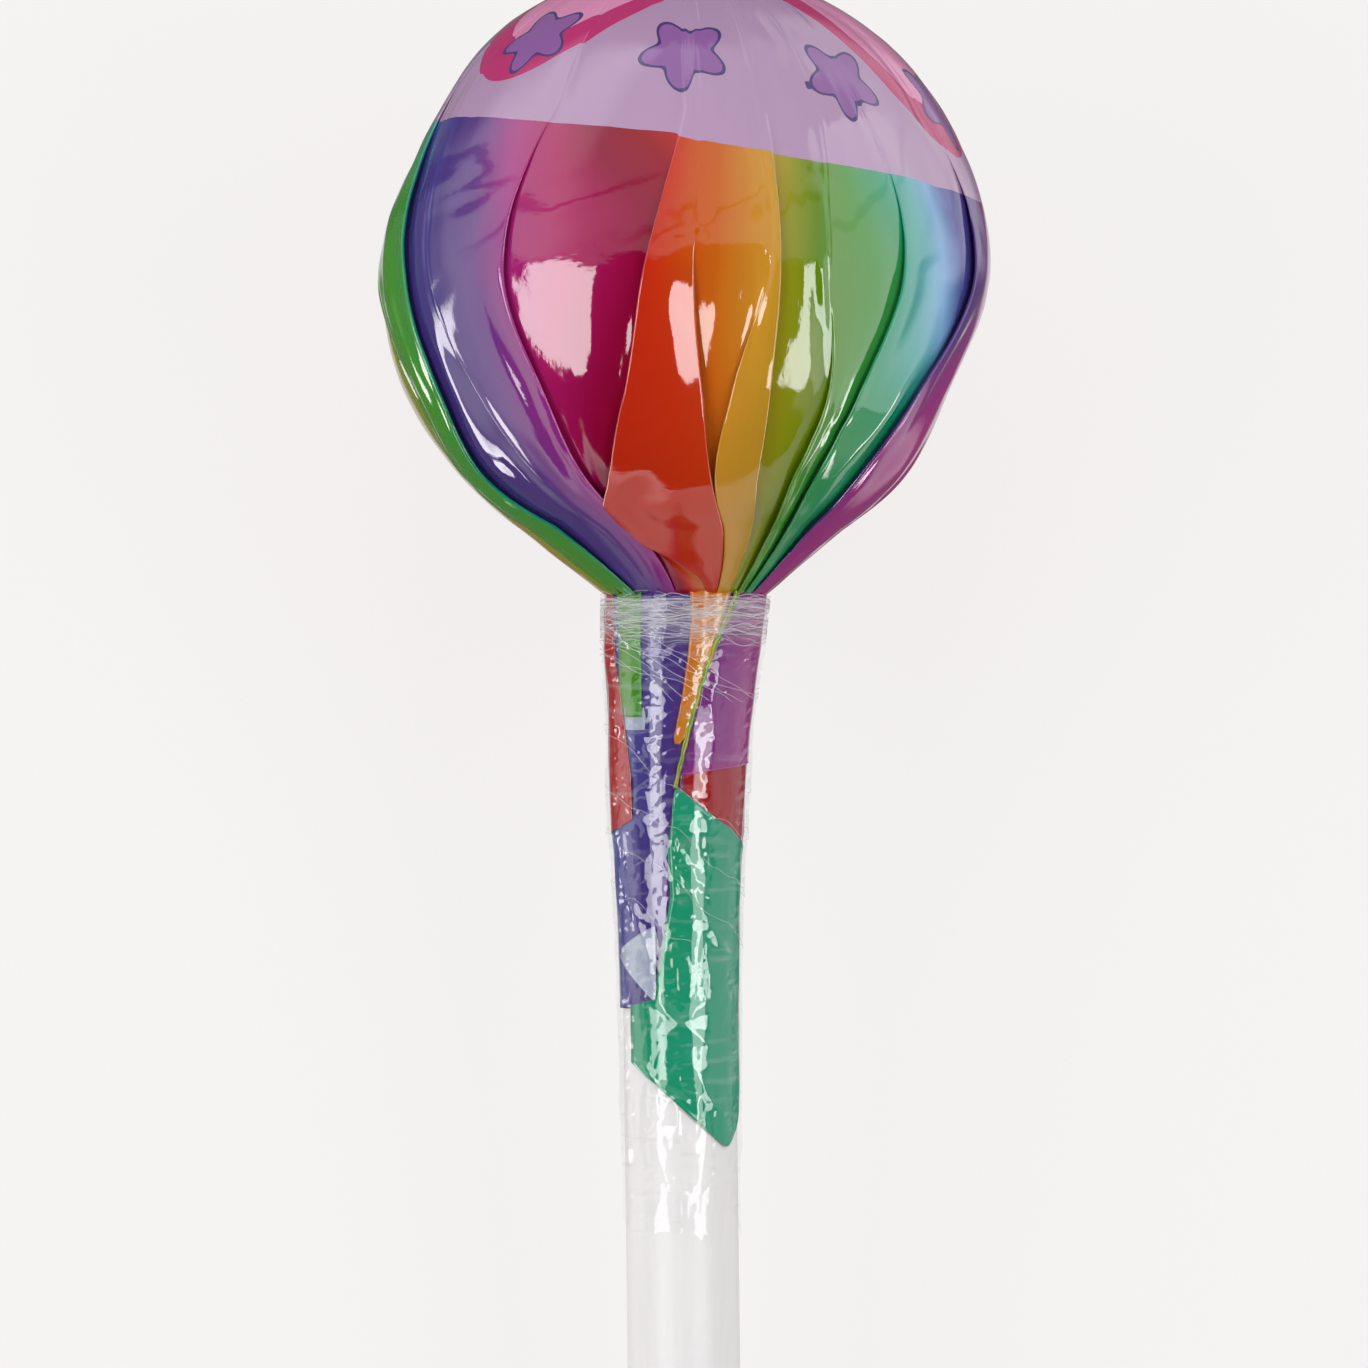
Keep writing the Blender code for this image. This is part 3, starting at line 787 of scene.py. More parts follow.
def tail(name, layer, sheet, edges, material):
    """One strip of film down the stem, between its left and right edges."""
    top, bottom = edges[0][0], edges[-1][0]
    places = [top + (bottom - top) * r / TAIL_ROWS for r in range(TAIL_ROWS + 1)]
    places = sorted(set(places + [e[0] for e in edges]))
    rows = []
    for depth in places:
        left = between([(e[0], e[1]) for e in edges], depth)
        right = between([(e[0], e[2]) for e in edges], depth)
        row = []
        for k in range(TAIL_COLUMNS):
            share = k / (TAIL_COLUMNS - 1)
            azimuth = mixed((left, right), share)
            distance = along_film(NECK_STATION) + depth * MM
            place = tail_point(depth, azimuth, layer, abs(2 * share - 1))
            row.append((place, mixed(sheet, share), distance, azimuth))
        rows.append(row)
    made = film_object(name, rows, TAIL_COLUMNS, False, material)
    thick = made.modifiers.new("film", "SOLIDIFY")
    thick.thickness = TAIL_THICK
    thick.offset = -1
    return made


def unprinted_back():
    """The film's plain side: a smooth clear face over the print's pale blue-grey back, a little cloudy."""
    made, tree = new_material("unprinted_polypropylene_back")
    place = add(tree, "ShaderNodeTexCoord").outputs["Object"]
    cloud = add(tree, "ShaderNodeTexNoise", {"Vector": place, "Scale": 260.0, "Detail": 2.0})
    tones = {0: cloud, 6: linear("#9AA4B8"), 7: linear("#AEB6C8")}
    tone = add(tree, "ShaderNodeMix", tones, data_type="RGBA").outputs[2]
    skin = add(tree, "ShaderNodeBsdfPrincipled", {"Base Color": tone, "Roughness": 0.12, "IOR": 1.49})
    add(tree, "ShaderNodeOutputMaterial", {"Surface": skin})
    return made


def rolled_corner():
    """A corner of film twisted to a thin cord that lies slantwise down the stem."""
    rows = []
    for r in range(ROLL_ROWS + 1):
        depth = ROLL[0][0] + (ROLL[-1][0] - ROLL[0][0]) * r / ROLL_ROWS
        azimuth = between(ROLL, depth)
        middle = (between(SLEEVE, depth) - 0.45) * MM
        thick = (ROLL_R - ROLL_THINNER * r / ROLL_ROWS) * MM
        row = []
        for k in range(ROLL_SIDES + 1):
            turn = math.tau * k / ROLL_SIDES
            twist = turn + depth * 0.9
            ridge = thick * (1 + 0.16 * math.sin(2 * twist) + 0.08 * math.sin(5 * twist))
            sideways = math.degrees(ridge * math.cos(turn) / middle)
            place = stem_point(depth, azimuth + sideways, middle + 0.45 * ridge * math.sin(turn))
            on_print = ROLL_PRINT + 2.5 * math.sin(twist)
            row.append((place, on_print, along_film(NECK_STATION) + depth * MM, azimuth))
        rows.append(row)
    made = film_object("film_rolled_corner", rows, ROLL_SIDES + 1, False, wrapped_print)
    cord = bmesh.new()
    cord.from_mesh(made.data)
    bmesh.ops.remove_doubles(cord, verts=cord.verts, dist=0.001 * MM)
    ends = bmesh.ops.holes_fill(cord, edges=cord.edges, sides=0)["faces"]
    sheet = cord.loops.layers.uv["sheet"]
    for end in ends:
        for loop in end.loops:
            beside = next(other for other in loop.vert.link_loops if other.face not in ends)
            loop[sheet].uv = beside[sheet].uv
    bmesh.ops.recalc_face_normals(cord, faces=cord.faces)
    cord.to_mesh(made.data)
    cord.free()
    return made


# The stretch film lies close on the tails, which leaves their face less contrast than air does
wrapped_print = printed_film("printed_film_under_wrap", 1.34)
for number, (layer, sheet, edges) in enumerate(TAILS):
    belongs(tail(f"film_tail_{number}", layer, sheet, edges, wrapped_print), "wrapped_ball")
back_face = unprinted_back()
for number, (layer, edges) in enumerate(BACKS):
    belongs(tail(f"film_back_{number}", layer, (0, 0), edges, back_face), "wrapped_ball")
belongs(rolled_corner(), "wrapped_ball")


# The stretch film round the stem
# Clear polyethylene stretch film wound tight round the neck and down the tails, creased where it was pulled
# and loose where the winding ends on the bare stick.

SLEEVE_SIDES = 240
SLEEVE_ROWS = 400
# Long ridges that the winding pulled up: two ends as (azimuth, depth), and the height, in mm
RIDGES = (
    ((-70, 0.5), (9, 17), 0.3),
    ((-47, 6.8), (2, 16.5), 0.22),
    ((-73, 18.4), (-27, 24.7), 0.25),
    ((11, 5.3), (75, 8.2), 0.22),
    ((24, 14), (34, 27), 0.22),
    ((-30, 25), (-2, 29), 0.2),
    ((-1, 32.6), (62, 39.4), 0.28),
    ((-50, 34), (-12, 40), 0.22),
    ((-6, 41), (35, 51.5), 0.32),
    ((-12, 43.5), (24, 54), 0.24),
    ((9, 48), (57, 63), 0.3),
    ((-62, 45), (-30, 56), 0.25),
    ((-46, 50), (-18, 64), 0.22),
    ((-24, 68), (37, 77), 0.3),
    ((37, 68), (-18, 76.5), 0.26),
    ((-45, 78), (12, 87), 0.24),
    ((14, 80), (52, 90), 0.22),
    ((-20, 96), (10, 103), 0.22),
    ((110, 4), (190, 22), 0.3),
    ((220, 12), (150, 30), 0.28),
    ((120, 36), (200, 52), 0.3),
    ((240, 50), (170, 70), 0.28),
)
RIDGE_HALF_WIDTH = 0.75
RIDGE_BOW = 0.9
SLEEVE_CLEARANCE = 0.14 * MM
SLEEVE_END = SLEEVE[-1][0] - 3.5
SLEEVE_RAGGED = 6


def stretch_film(name, gloss_limit, haze, neck_haze):
    """Clear polyethylene: gloss that grows towards the edges, faint white wisps, and haze at the neck."""
    made, tree = new_material(name)
    pull = add(tree, "ShaderNodeAttribute", attribute_name="pull").outputs["Vector"]
    depth = add(tree, "ShaderNodeSeparateXYZ", (pull,)).outputs[1]
    # The bunched turns at the neck leave streaks about 0.4 mm wide
    streaks = add(tree, VECTOR_MATH, (pull, (0.035, 2.6, 1.0)), operation="MULTIPLY")
    streaks = add(tree, "ShaderNodeTexNoise", {"Vector": streaks, "Scale": 1.0, "Detail": 3.0})
    streaks = add(tree, "ShaderNodeMapRange", (streaks, 0.4, 0.7, 0.25, 1.0))
    fade = add(tree, "ShaderNodeMapRange", (depth, 3.5, 9.0, neck_haze, 0.0))
    # Slanting wisps about 1.8 mm wide, where the turns overlap
    wisps = {"Vector": pull, "Rotation": (0, 0, 0.9), "Scale": (0.012, 0.55, 1)}
    wisps = add(tree, "ShaderNodeMapping", wisps)
    wisps = add(tree, "ShaderNodeTexNoise", {"Vector": wisps, "Scale": 1.0, "Detail": 3.0})
    wisps = add(tree, "ShaderNodeMapRange", (wisps, 0.56, 0.72, haze, haze + 0.14))
    # Fewer turns lie on each other towards the end, and the neck's turns are too bunched to mirror much
    turns = add(tree, "ShaderNodeMapRange", (depth, 82.0, 98.0, 0.9, 0.4))
    below_neck = add(tree, "ShaderNodeMapRange", (depth, 7.0, 15.0, 0.35, 1.0))
    wisps = add(tree, MATH, (wisps, turns), operation="MULTIPLY")
    milky = add(tree, MATH, (fade, streaks, wisps), operation="MULTIPLY_ADD")
    shine = add(tree, "ShaderNodeFresnel", {"IOR": 1.5})
    shine = add(tree, MATH, (shine, gloss_limit), operation="MINIMUM")
    shine = add(tree, MATH, (shine, turns), operation="MULTIPLY")
    shine = add(tree, MATH, (shine, below_neck), operation="MULTIPLY")
    clear = add(tree, "ShaderNodeBsdfTransparent")
    milk = add(tree, "ShaderNodeBsdfDiffuse", (linear("#F4F3F4"),))
    mirror = {"Base Color": linear("#F6F6F8"), "Roughness": 0.07, "Metallic": 1.0}
    mirror = add(tree, "ShaderNodeBsdfPrincipled", mirror)
    body = add(tree, "ShaderNodeMixShader", (milky, clear, milk))
    skin = add(tree, "ShaderNodeMixShader", (shine, body, mirror))
    add(tree, "ShaderNodeOutputMaterial", {"Surface": skin})
    return made


def windings():
    """A tree that presses pulled creases and crumpled flats into a sleeve of film."""
    sizes = {
        "Crease pitch": 2.4,
        "Crease height": 0.16 * MM,
        "Slant": 0.06,
        "Crumple width": 24.0,
        "Crumple length": 11.0,
        "Crumple height": 0.42 * MM,
        "Fine share": 0.3,
        "Seed": 5.0,
    }
    tree, given = new_tree("windings", sizes)
    pull = add(tree, "GeometryNodeInputNamedAttribute", {"Name": "pull"}, data_type="FLOAT_VECTOR")
    azimuth, depth, _ = add(tree, "ShaderNodeSeparateXYZ", (pull,)).outputs
    turn = add(tree, MATH, (azimuth,), operation="RADIANS")
    cosine = add(tree, MATH, (turn,), operation="COSINE")
    sine = add(tree, MATH, (turn,), operation="SINE")
    slanted = add(tree, MATH, (azimuth, given["Slant"], depth), operation="MULTIPLY_ADD")

    # Places round the stem, in crease pitches and in crumples, whose width is in degrees, 57.3 to the radian
    down = add(tree, MATH, (slanted, given["Crease pitch"]), operation="DIVIDE")
    across = add(tree, MATH, (57.3, given["Crumple width"]), operation="DIVIDE")
    along = add(tree, MATH, (slanted, given["Crumple length"]), operation="DIVIDE")
    rings = []
    for size, run in ((2.2, down), (across, along)):
        ring = [add(tree, MATH, (way, size), operation="MULTIPLY") for way in (cosine, sine)]
        rings.append(add(tree, "ShaderNodeCombineXYZ", (*ring, run)))
    place, spot = rings
    creases = {"Vector": place, "Scale": 1.0, "Detail": 2.0, "Roughness": 0.55}
    creases = add(tree, "ShaderNodeTexNoise", creases)
    creases = add(tree, MATH, (creases, 0.5), operation="SUBTRACT")
    creases = add(tree, MATH, (creases,), operation="ABSOLUTE")
    near_neck = add(tree, "ShaderNodeMapRange", (depth, 4.0, 60.0, -10.0, -3.0))
    creases = add(tree, MATH, (creases, near_neck), operation="MULTIPLY")
    creases = add(tree, MATH, (creases, given["Crease height"]), operation="MULTIPLY")

    seeded = add(tree, "ShaderNodeCombineXYZ", (given["Seed"], given["Seed"]))
    spot = add(tree, VECTOR_MATH, (spot, seeded))
    warp = add(tree, "ShaderNodeTexNoise", {"Vector": spot, "Scale": 1.1, "Detail": 1.0}).outputs[1]
    spot = add(tree, VECTOR_MATH, (warp, (1.3, 1.3, 1.3), spot), operation="MULTIPLY_ADD")
    flats = add(tree, "ShaderNodeTexVoronoi", {"Vector": spot, "Scale": 1.0}, feature="F1")
    fine = add(tree, "ShaderNodeTexVoronoi", {"Vector": spot, "Scale": 2.3}, feature="F1")
    crumples = add(tree, MATH, (fine, given["Fine share"], flats), operation="MULTIPLY_ADD")
    crumples = add(tree, MATH, (crumples, given["Crumple height"]), operation="MULTIPLY")
    at_end = add(tree, "ShaderNodeMapRange", (depth, 60.0, 100.0, -1.0, -0.9))
    height = add(tree, MATH, (crumples, at_end, creases), operation="MULTIPLY_ADD")
    normal = add(tree, "GeometryNodeInputNormal")
    offset = add(tree, VECTOR_MATH, {0: normal, "Scale": height}, operation="SCALE")
    moved = add(tree, "GeometryNodeSetPosition", {"Geometry": given["Geometry"], "Offset": offset})
    return end_tree(tree, moved, given["Material"])


def pulled_up(azimuth, depth):
    """How high the long ridges raise the sleeve."""
    height = 0.0
    for (azimuth_a, depth_a), (azimuth_b, depth_b), most in RIDGES:
        across_mm = between(SLEEVE, (depth_a + depth_b) / 2) * math.tau / 360
        run = ((azimuth_b - azimuth_a) * across_mm, depth_b - depth_a)
        here = (wrapped(azimuth - azimuth_a) * across_mm, depth - depth_a)
        share, below = beside_line(run, here)
        off = abs(below - RIDGE_BOW * math.sin(math.pi * share))
        if 0 < share < 1 and off < 2 * RIDGE_HALF_WIDTH:
            height += most * eased(5 * share * (1 - share)) * eased(1 - off / (2 * RIDGE_HALF_WIDTH))
    return height * MM


def sleeve_object(material):
    """The sleeve of film before it is creased, with a ragged lower end."""
    top = SLEEVE[0][0]
    points, pulls = [], []
    for r in range(SLEEVE_ROWS + 1):
        for i in range(SLEEVE_SIDES):
            azimuth = 360 * i / SLEEVE_SIDES
            turn = math.radians(azimuth)
            ragged = noise.noise(Vector((1.7 * math.sin(turn), 1.7 * math.cos(turn), 4.4)))
            depth = top + (SLEEVE_END + SLEEVE_RAGGED * ragged - top) * r / SLEEVE_ROWS
            loose = 0.12 - 0.17 * eased((depth - 70) / 20)
            radius = (between(SLEEVE, depth) + loose) * MM + pulled_up(azimuth, depth)
            points.append(stem_point(depth, azimuth, radius))
            pulls.append((azimuth, depth, 0))
    made = lay_down("stretch_sleeve", points, grid_faces(SLEEVE_ROWS + 1, SLEEVE_SIDES, True), material)
    pull = made.data.attributes.new("pull", "FLOAT_VECTOR", "POINT")
    for entry, place in zip(pull.data, pulls):
        entry.vector = place
    return made


clear_film = stretch_film("polyethylene_stretch_film", gloss_limit=0.1, haze=0.008, neck_haze=0.5)
sleeve = sleeve_object(clear_film)
grow(sleeve, windings(), Material=clear_film)
# No crease may press the film into the stick
stood_up = LAID_DOWN.inverted()
for vertex in sleeve.data.vertices:
    upright = stood_up @ vertex.co
    middle = Vector((stem_x(NECK_Z - upright.z), 0, upright.z))
    out = upright - middle
    if out.length < STICK_R + SLEEVE_CLEARANCE:
        vertex.co = LAID_DOWN @ (middle + out.normalized() * (STICK_R + SLEEVE_CLEARANCE))
    vertex.co.z = max(vertex.co.z, 0.0)
belongs(sleeve, "clear_sleeve")


# The strands of bunched film
# Where the winding starts, turns of the same film are pulled to thin ropes round the neck, and a few long
# ones run slantwise down the stem.

STRAND_PATH_R = 14.0 * MM


def wound_strands():
    """A tree that winds a strand round an upright axis, and lets it wander."""
    sizes = {
        "Turns": 20.0,
        "Steps": 72,
        "Path radius": STRAND_PATH_R,
        "Height": 7.0 * MM,
        "Strand radius": 0.09 * MM,
        "Wander": 1.5 * MM,
        "Slope": 0.0,
        "Seed": 1.0,
    }
    tree, given = new_tree("wound_strands", sizes)
    path = {
        "Resolution": given["Steps"],
        "Rotations": given["Turns"],
        "Start Radius": given["Path radius"],
        "End Radius": given["Path radius"],
        "Height": given["Height"],
    }
    spiral = add(tree, "GeometryNodeCurveSpiral", path)
    place = add(tree, "GeometryNodeInputPosition")
    step = add(tree, "GeometryNodeInputIndex")
    turn = add(tree, MATH, (step, given["Steps"]), operation="DIVIDE")
    turn = add(tree, MATH, (turn, 0.55, given["Seed"]), operation="MULTIPLY_ADD")
    near = add(tree, VECTOR_MATH, {0: place, "Scale": 110.0}, operation="SCALE")
    stray = {"Vector": near, "W": turn, "Scale": 1.0, "Detail": 1.0}
    stray = add(tree, "ShaderNodeTexNoise", stray, noise_dimensions="4D").outputs[1]
    stray = add(tree, VECTOR_MATH, (stray, (0.5, 0.5, 0.5)), operation="SUBTRACT")
    stray = add(tree, VECTOR_MATH, (stray, (0.02, 0.02, 2.0)), operation="MULTIPLY")
    stray = add(tree, VECTOR_MATH, {0: stray, "Scale": given["Wander"]}, operation="SCALE")
    sideways = add(tree, "ShaderNodeSeparateXYZ", (place,))
    tipped = add(tree, MATH, (sideways, given["Slope"]), operation="MULTIPLY")
    tipped = add(tree, "ShaderNodeCombineXYZ", {2: tipped})
    stray = add(tree, VECTOR_MATH, (stray, tipped))
    moved = add(tree, "GeometryNodeSetPosition", {"Geometry": spiral, "Offset": stray})
    section = {"Resolution": 6, "Radius": given["Strand radius"]}
    section = add(tree, "GeometryNodeCurvePrimitiveCircle", section)
    rope = {"Curve": moved, "Profile Curve": section, "Fill Caps": True}
    rope = add(tree, "GeometryNodeCurveToMesh", rope)
    return end_tree(tree, rope, given["Material"])


def strand(name, depth, **values):
    """A wound strand that hugs the sleeve, whose lowest turn is at a depth."""
    made = lay_down(name, [Vector((0, 0, 0))], [], bunched_film)
    grow(made, wound, Material=bunched_film, **values)
    for vertex in made.data.vertices:
        x, y, z = vertex.co
        here = depth - z / MM
        radius = (between(SLEEVE, here) - 0.1) * MM + math.hypot(x, y) - STRAND_PATH_R
        place = LAID_DOWN @ stem_point(here, math.degrees(math.atan2(x, -y)), radius)
        place.z = max(place.z, 0.0)
        vertex.co = place
    belongs(made, "clear_sleeve")


bunched_film = stretch_film("bunched_stretch_film", gloss_limit=0.2, haze=0.3, neck_haze=0.0)
wound = wound_strands()
thin = 0.07 * MM
strand("strands_neck", 7.0, Turns=16.0, Height=7.0 * MM, Strand_radius=thin, Wander=3.0 * MM, Slope=0.03)
strand("strands_neck_thin", 8.6, Turns=15.0, Height=8.8 * MM, Strand_radius=0.045 * MM, Wander=3.5 * MM,
       Seed=4.0, Slope=-0.05)
strand("strands_slant", 18.0, Turns=7.0, Height=9.0 * MM, Strand_radius=0.055 * MM, Wander=3.5 * MM,
       Seed=7.0, Slope=-0.5)
strand("strands_low", 60.0, Turns=4.0, Height=34.0 * MM, Strand_radius=0.045 * MM, Wander=5.0 * MM,
       Seed=9.0, Slope=-0.5)


# The studio
# A pale table in a white tent with a dark opening towards the lens, two strip softboxes that draw the hard
# highlights, broad soft light for the colours, and a long lens square on to the shown side.

PHOTO_PIXELS = 1368
MM_PER_PIXEL = 0.1705
BALL_PIXEL = (684, 270)
LENS_DISTANCE = 2.6
SENSOR = 36.0


def studio_direction(azimuth, elevation):
    """A direction round the upright lollipop, from its shown side towards +X and up to the crown."""
    a, e = math.radians(azimuth), math.radians(elevation)
    upright = Vector((math.sin(a) * math.cos(e), -math.cos(a) * math.cos(e), math.sin(e)))
    return LAID_DOWN.to_3x3() @ upright


def softbox(name, azimuth, elevation, distance, width, height, watts, glossy, diffuse, cut=None, lit=()):
    """A light that faces the ball. It may be cut to a trapezoid, and light only some pieces."""
    data = bpy.data.lights.new(name, "AREA")
    data.shape = "RECTANGLE"
    data.size = width
    data.size_y = height
    data.energy = watts
    light = bpy.data.objects.new(name, data)
    towards = studio_direction(azimuth, elevation)
    light.location = LAID_DOWN @ Vector((0, 0, 0)) + towards * distance
    crown = LAID_DOWN.to_3x3() @ Vector((0, 0, 1))
    side = crown.cross(towards).normalized()
    up = towards.cross(side)
    light.rotation_euler = Matrix((side, up, towards)).transposed().to_euler()
    light.visible_glossy = glossy
    light.visible_diffuse = diffuse
    light.visible_camera = False
    bpy.context.scene.collection.objects.link(light)
    if cut:
        data.use_nodes = True
        tree = data.node_tree
        place = add(tree, "ShaderNodeNewGeometry").outputs["Parametric"]
        across, up, _ = add(tree, "ShaderNodeSeparateXYZ", (place,)).outputs
        left = add(tree, "ShaderNodeMapRange", {0: up, 3: cut[0], 4: 0.0})
        right = add(tree, "ShaderNodeMapRange", {0: up, 3: cut[1], 4: cut[2]})
        after = add(tree, MATH, (across, left), operation="SUBTRACT")
        before = add(tree, MATH, (right, across), operation="SUBTRACT")
        inside = add(tree, MATH, (after, before), operation="MINIMUM")
        inside = add(tree, "ShaderNodeMapRange", {0: inside, 2: cut[3]})
        tree.links.new(inside.outputs[0], tree.nodes["Emission"].inputs["Strength"])
    if lit:
        receivers = bpy.data.collections.new(f"lit_by_{name}")
        for piece in lit:
            receivers.objects.link(piece)
        light.light_linking.receiver_collection = receivers


# The strips lean to the ball for its film and stand upright for the stem, so each lights only its pieces.
# The numbers are azimuth, elevation, distance, width, height and watts. Then come whether it is mirrored,
# whether it lights, and its cut: the left edge at the bottom, the right edge at the bottom and at the top,
# and how soft they are.
STEM_NAMES = ("stick_extrusion", "film_", "stretch_sleeve", "strands_")
stem_pieces = [piece for piece in bpy.data.objects if piece.name.startswith(STEM_NAMES)]
softbox("left_strip", -49, -19, 1.1, 0.71, 0.845, 22.0, True, False, (0.25, 0.65, 1.0, 0.01), [ball_film])
softbox("right_strip", 43.5, -20.5, 1.1, 0.42, 0.87, 13.5, True, False, (0.4, 1.0, 0.75, 0.01), [ball_film])
softbox("right_scrim", 81, 3, 1.3, 1.82, 2.3, 25.0, True, False, (0.0, 1.0, 1.0, 0.2), [ball_film])
softbox("left_stem_strip", -38, -4, 1.1, 0.4, 0.9, 11.5, True, False, None, stem_pieces)
softbox("right_stem_strip", 37, -4, 1.1, 0.36, 0.9, 13.0, True, False, None, stem_pieces)
softbox("left_fill", -50, 0, 1.3, 0.8, 1.2, 9.0, False, True)
softbox("right_fill", 45, 0, 1.3, 0.6, 1.2, 7.0, False, True)
softbox("crown_fill", 0, 35, 1.3, 1.4, 0.8, 6.0, False, True)

# What the film mirrors of the tent, by bearing and height from the ball in degrees: each range has its two
# limits and how soft they are. Bearings go from the lens towards +X, and heights grow towards the crown.
TENT = 1.1
TENT_SIDES = (-118.0, 124.0, 12.0)
LEFT_WALL = 1.1
LEFT_WALL_SIDES = (-104.0, -48.0, 12.0)
OPENING_SIDES = (-75.0, 56.0, 2.0)
OPENING_HEIGHTS = (-96.0, 3.0, 1.0)
LOW_OPENING_SIDES = (-87.0, 86.0, 3.0)
LOW_OPENING_HEIGHTS = (-200.0, -50.0, 4.0)
# Slanting ribs of the tent above the opening
RIB_SLANT = 0.3
RIB_PITCH = 20.8
RIB_START = 34.4
RIB_DARKNESS = 0.75
RIB_WIDTH = (0.42, 0.58, 0.05)
RIB_HEIGHTS = (8.0, 30.0, 5.0)
# The room behind the tent, the table's glow low down, and two gaps in the tent at the right
ROOM = 0.15
ROOM_SIDES = (-162.0, 162.0, 4.0)
ROOM_GLOW = 0.6
ROOM_GLOW_HEIGHTS = (-9.0, 4.0, 2.0)
TABLE_GLOW = 0.85
TABLE_GLOW_HEIGHTS = (-200.0, -58.0, 10.0)
LOW_GAP = ((122.0, 151.0, 5.0), (-34.0, -18.0, 3.0))
HIGH_GAP = ((112.0, 152.0, 8.0), (1.0, 60.0, 3.0))
# Thin bright streaks of light past the tent's slanting edges
STREAK = 9.0
LEFT_STREAK = ((-0.5, -4.5), (-121.0, -104.0, 1.2), (-41.0, -8.0, 3.0))
RIGHT_STREAK = ((1.0, 27.0), (109.0, 118.0, 1.2), (-43.0, -25.0, 2.0))

world = bpy.data.worlds.new("studio")
world.use_nodes = True
bpy.context.scene.world = world
sky = world.node_tree
sky.nodes.clear()


def window(value, limits):
    """1 between two limits and 0 outside them, with soft edges."""
    low, high, soft = limits
    rise = (value, low - soft, low + soft)
    rise = add(sky, "ShaderNodeMapRange", rise, interpolation_type="SMOOTHSTEP")
    fall = (value, high - soft, high + soft, 1.0, 0.0)
    fall = add(sky, "ShaderNodeMapRange", fall, interpolation_type="SMOOTHSTEP")
    return add(sky, MATH, (rise, fall), operation="MULTIPLY")


direction = add(sky, "ShaderNodeTexCoord").outputs["Generated"]
sideways, facing, upwards = [
    add(sky, VECTOR_MATH, (direction, studio_direction(*way)), operation="DOT_PRODUCT").outputs["Value"]
    for way in ((90, 0), (0, 0), (0, 90))
]
height = add(sky, MATH, (upwards,), operation="ARCSINE")
height = add(sky, MATH, (height,), operation="DEGREES")
bearing = add(sky, MATH, (sideways, facing), operation="ARCTAN2")
bearing = add(sky, MATH, (bearing,), operation="DEGREES")

low = window(height, LOW_OPENING_HEIGHTS)
above = add(sky, MATH, (1.0, low), operation="SUBTRACT")
opening = add(sky, MATH, (window(bearing, OPENING_SIDES), above), operation="MULTIPLY")
opening = (window(bearing, LOW_OPENING_SIDES), low, opening)
opening = add(sky, MATH, opening, operation="MULTIPLY_ADD")
opening = add(sky, MATH, (opening, window(height, OPENING_HEIGHTS)), operation="MULTIPLY")
closed = add(sky, MATH, (1.0, opening), operation="SUBTRACT")

rib = (bearing, -RIB_SLANT / RIB_PITCH, 0.5 - RIB_START / RIB_PITCH)
rib = add(sky, MATH, rib, operation="MULTIPLY_ADD")
rib = add(sky, MATH, (height, 1 / RIB_PITCH, rib), operation="MULTIPLY_ADD")
rib = add(sky, MATH, (rib,), operation="FRACT")
rib = add(sky, MATH, (window(rib, RIB_WIDTH), window(height, RIB_HEIGHTS)), operation="MULTIPLY")
unribbed = add(sky, MATH, (rib, -RIB_DARKNESS, 1.0), operation="MULTIPLY_ADD")

far = add(sky, MATH, (1.0, window(bearing, ROOM_SIDES)), operation="SUBTRACT")
far = add(sky, MATH, (far, window(height, ROOM_GLOW_HEIGHTS)), operation="MULTIPLY")
room = add(sky, MATH, (far, ROOM_GLOW, ROOM), operation="MULTIPLY_ADD")
room = (window(height, TABLE_GLOW_HEIGHTS), TABLE_GLOW, room)
room = add(sky, MATH, room, operation="MULTIPLY_ADD")

front = window(bearing, TENT_SIDES)
behind = add(sky, MATH, (1.0, front), operation="SUBTRACT")
tent = (window(bearing, LEFT_WALL_SIDES), LEFT_WALL, TENT)
tent = add(sky, MATH, tent, operation="MULTIPLY_ADD")
tent = add(sky, MATH, (front, tent), operation="MULTIPLY")
tent = add(sky, MATH, (behind, room, tent), operation="MULTIPLY_ADD")
tent = add(sky, MATH, (tent, unribbed), operation="MULTIPLY")
tent = add(sky, MATH, (tent, closed), operation="MULTIPLY")
for sides, heights in (LOW_GAP, HIGH_GAP):
    gap = (window(bearing, sides), window(height, heights), tent)
    tent = add(sky, MATH, gap, operation="MULTIPLY_ADD")
for (slant, shift), sides, heights in (LEFT_STREAK, RIGHT_STREAK):
    slanted = add(sky, MATH, (height, slant, shift), operation="MULTIPLY_ADD")
    slanted = add(sky, MATH, (bearing, slanted))
    streak = (window(slanted, sides), window(height, heights))
    streak = add(sky, MATH, streak, operation="MULTIPLY")
    tent = add(sky, MATH, (streak, STREAK, tent), operation="MULTIPLY_ADD")

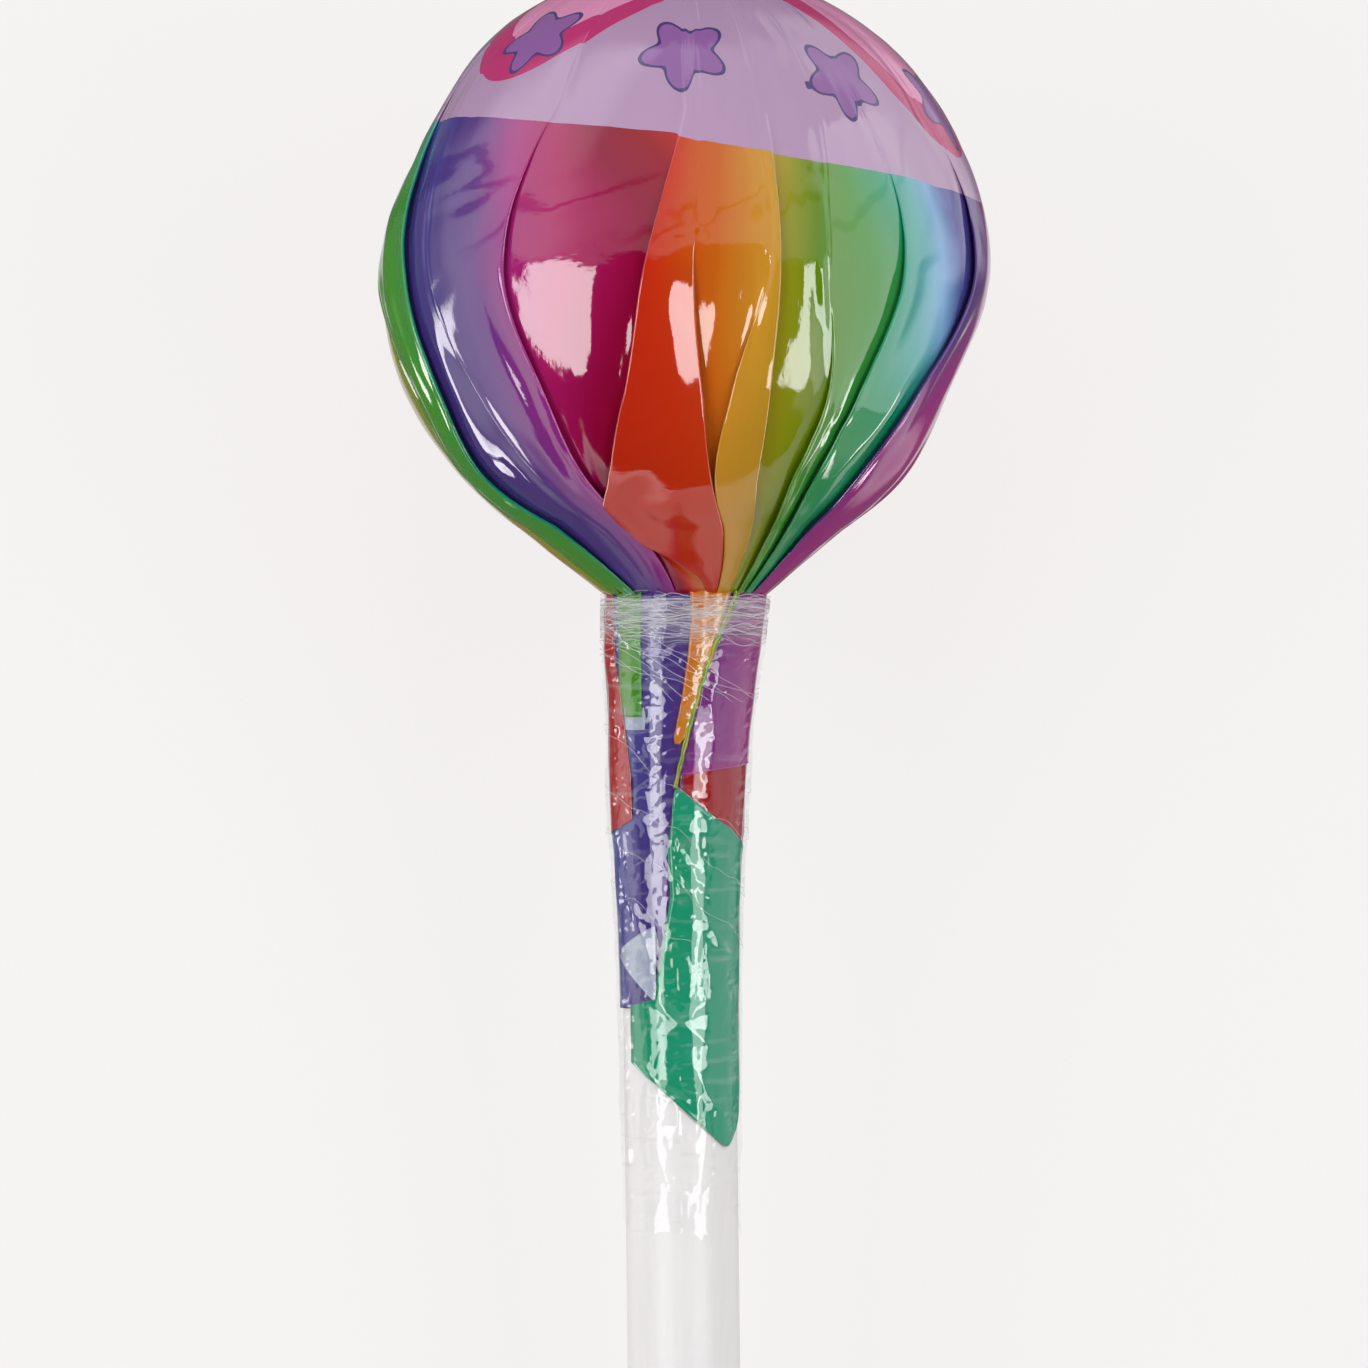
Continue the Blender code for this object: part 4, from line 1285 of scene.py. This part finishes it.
# The tent is seen by mirrored rays alone. Soft light and the lens get a plain pale backdrop.
rays = add(sky, "ShaderNodeLightPath").outputs
shown = add(sky, "ShaderNodeBackground", (linear("#F4F2F1"), 1.0))
mirrored = add(sky, "ShaderNodeBackground", (linear("#FBF8F8"), tent))
ambient = add(sky, "ShaderNodeBackground", (linear("#F4F4F6"), 0.3))
unseen = add(sky, "ShaderNodeMixShader", (rays["Is Glossy Ray"], ambient, mirrored))
backdrop = add(sky, "ShaderNodeMixShader", (rays["Is Camera Ray"], unseen, shown))
add(sky, "ShaderNodeOutputWorld", (backdrop,))

# A lit table: matt white laminate that glows a little, so that it stays as pale as the backdrop
TABLE_HALF = 8
TABLE_DROP = 0.2 * MM
table_material, table_tree = new_material("lit_table")
glow = add(table_tree, "ShaderNodeEmission", (linear("#F4F2F1"), 0.9))
matt = add(table_tree, "ShaderNodeBsdfDiffuse", ((0.1, 0.1, 0.1, 1),))
both = add(table_tree, "ShaderNodeAddShader", (glow, matt))
add(table_tree, "ShaderNodeOutputMaterial", {"Surface": both})
table_mesh = bpy.data.meshes.new("table")
corners = [(x * TABLE_HALF, y * TABLE_HALF, -TABLE_DROP) for x, y in ((-1, -1), (1, -1), (1, 1), (-1, 1))]
table_mesh.from_pydata(corners, [], [(0, 1, 2, 3)])
table_mesh.materials.append(table_material)
table = bpy.data.objects.new("table", table_mesh)
table.visible_glossy = False
bpy.context.scene.collection.objects.link(table)

frame_height = PHOTO_PIXELS * MM_PER_PIXEL * MM
below_ball = (PHOTO_PIXELS / 2 - BALL_PIXEL[1]) * MM_PER_PIXEL * MM
camera_data = bpy.data.cameras.new("camera")
camera_data.sensor_width = SENSOR
camera_data.lens = SENSOR * LENS_DISTANCE / frame_height
camera = bpy.data.objects.new("camera", camera_data)
camera.matrix_world = (
    LAID_DOWN
    @ Matrix.Translation((0, -LENS_DISTANCE, -below_ball))
    @ Matrix.Rotation(math.pi / 2, 4, "X")
)
bpy.context.scene.collection.objects.link(camera)
bpy.context.scene.camera = camera
bpy.context.scene.view_settings.view_transform = "Standard"
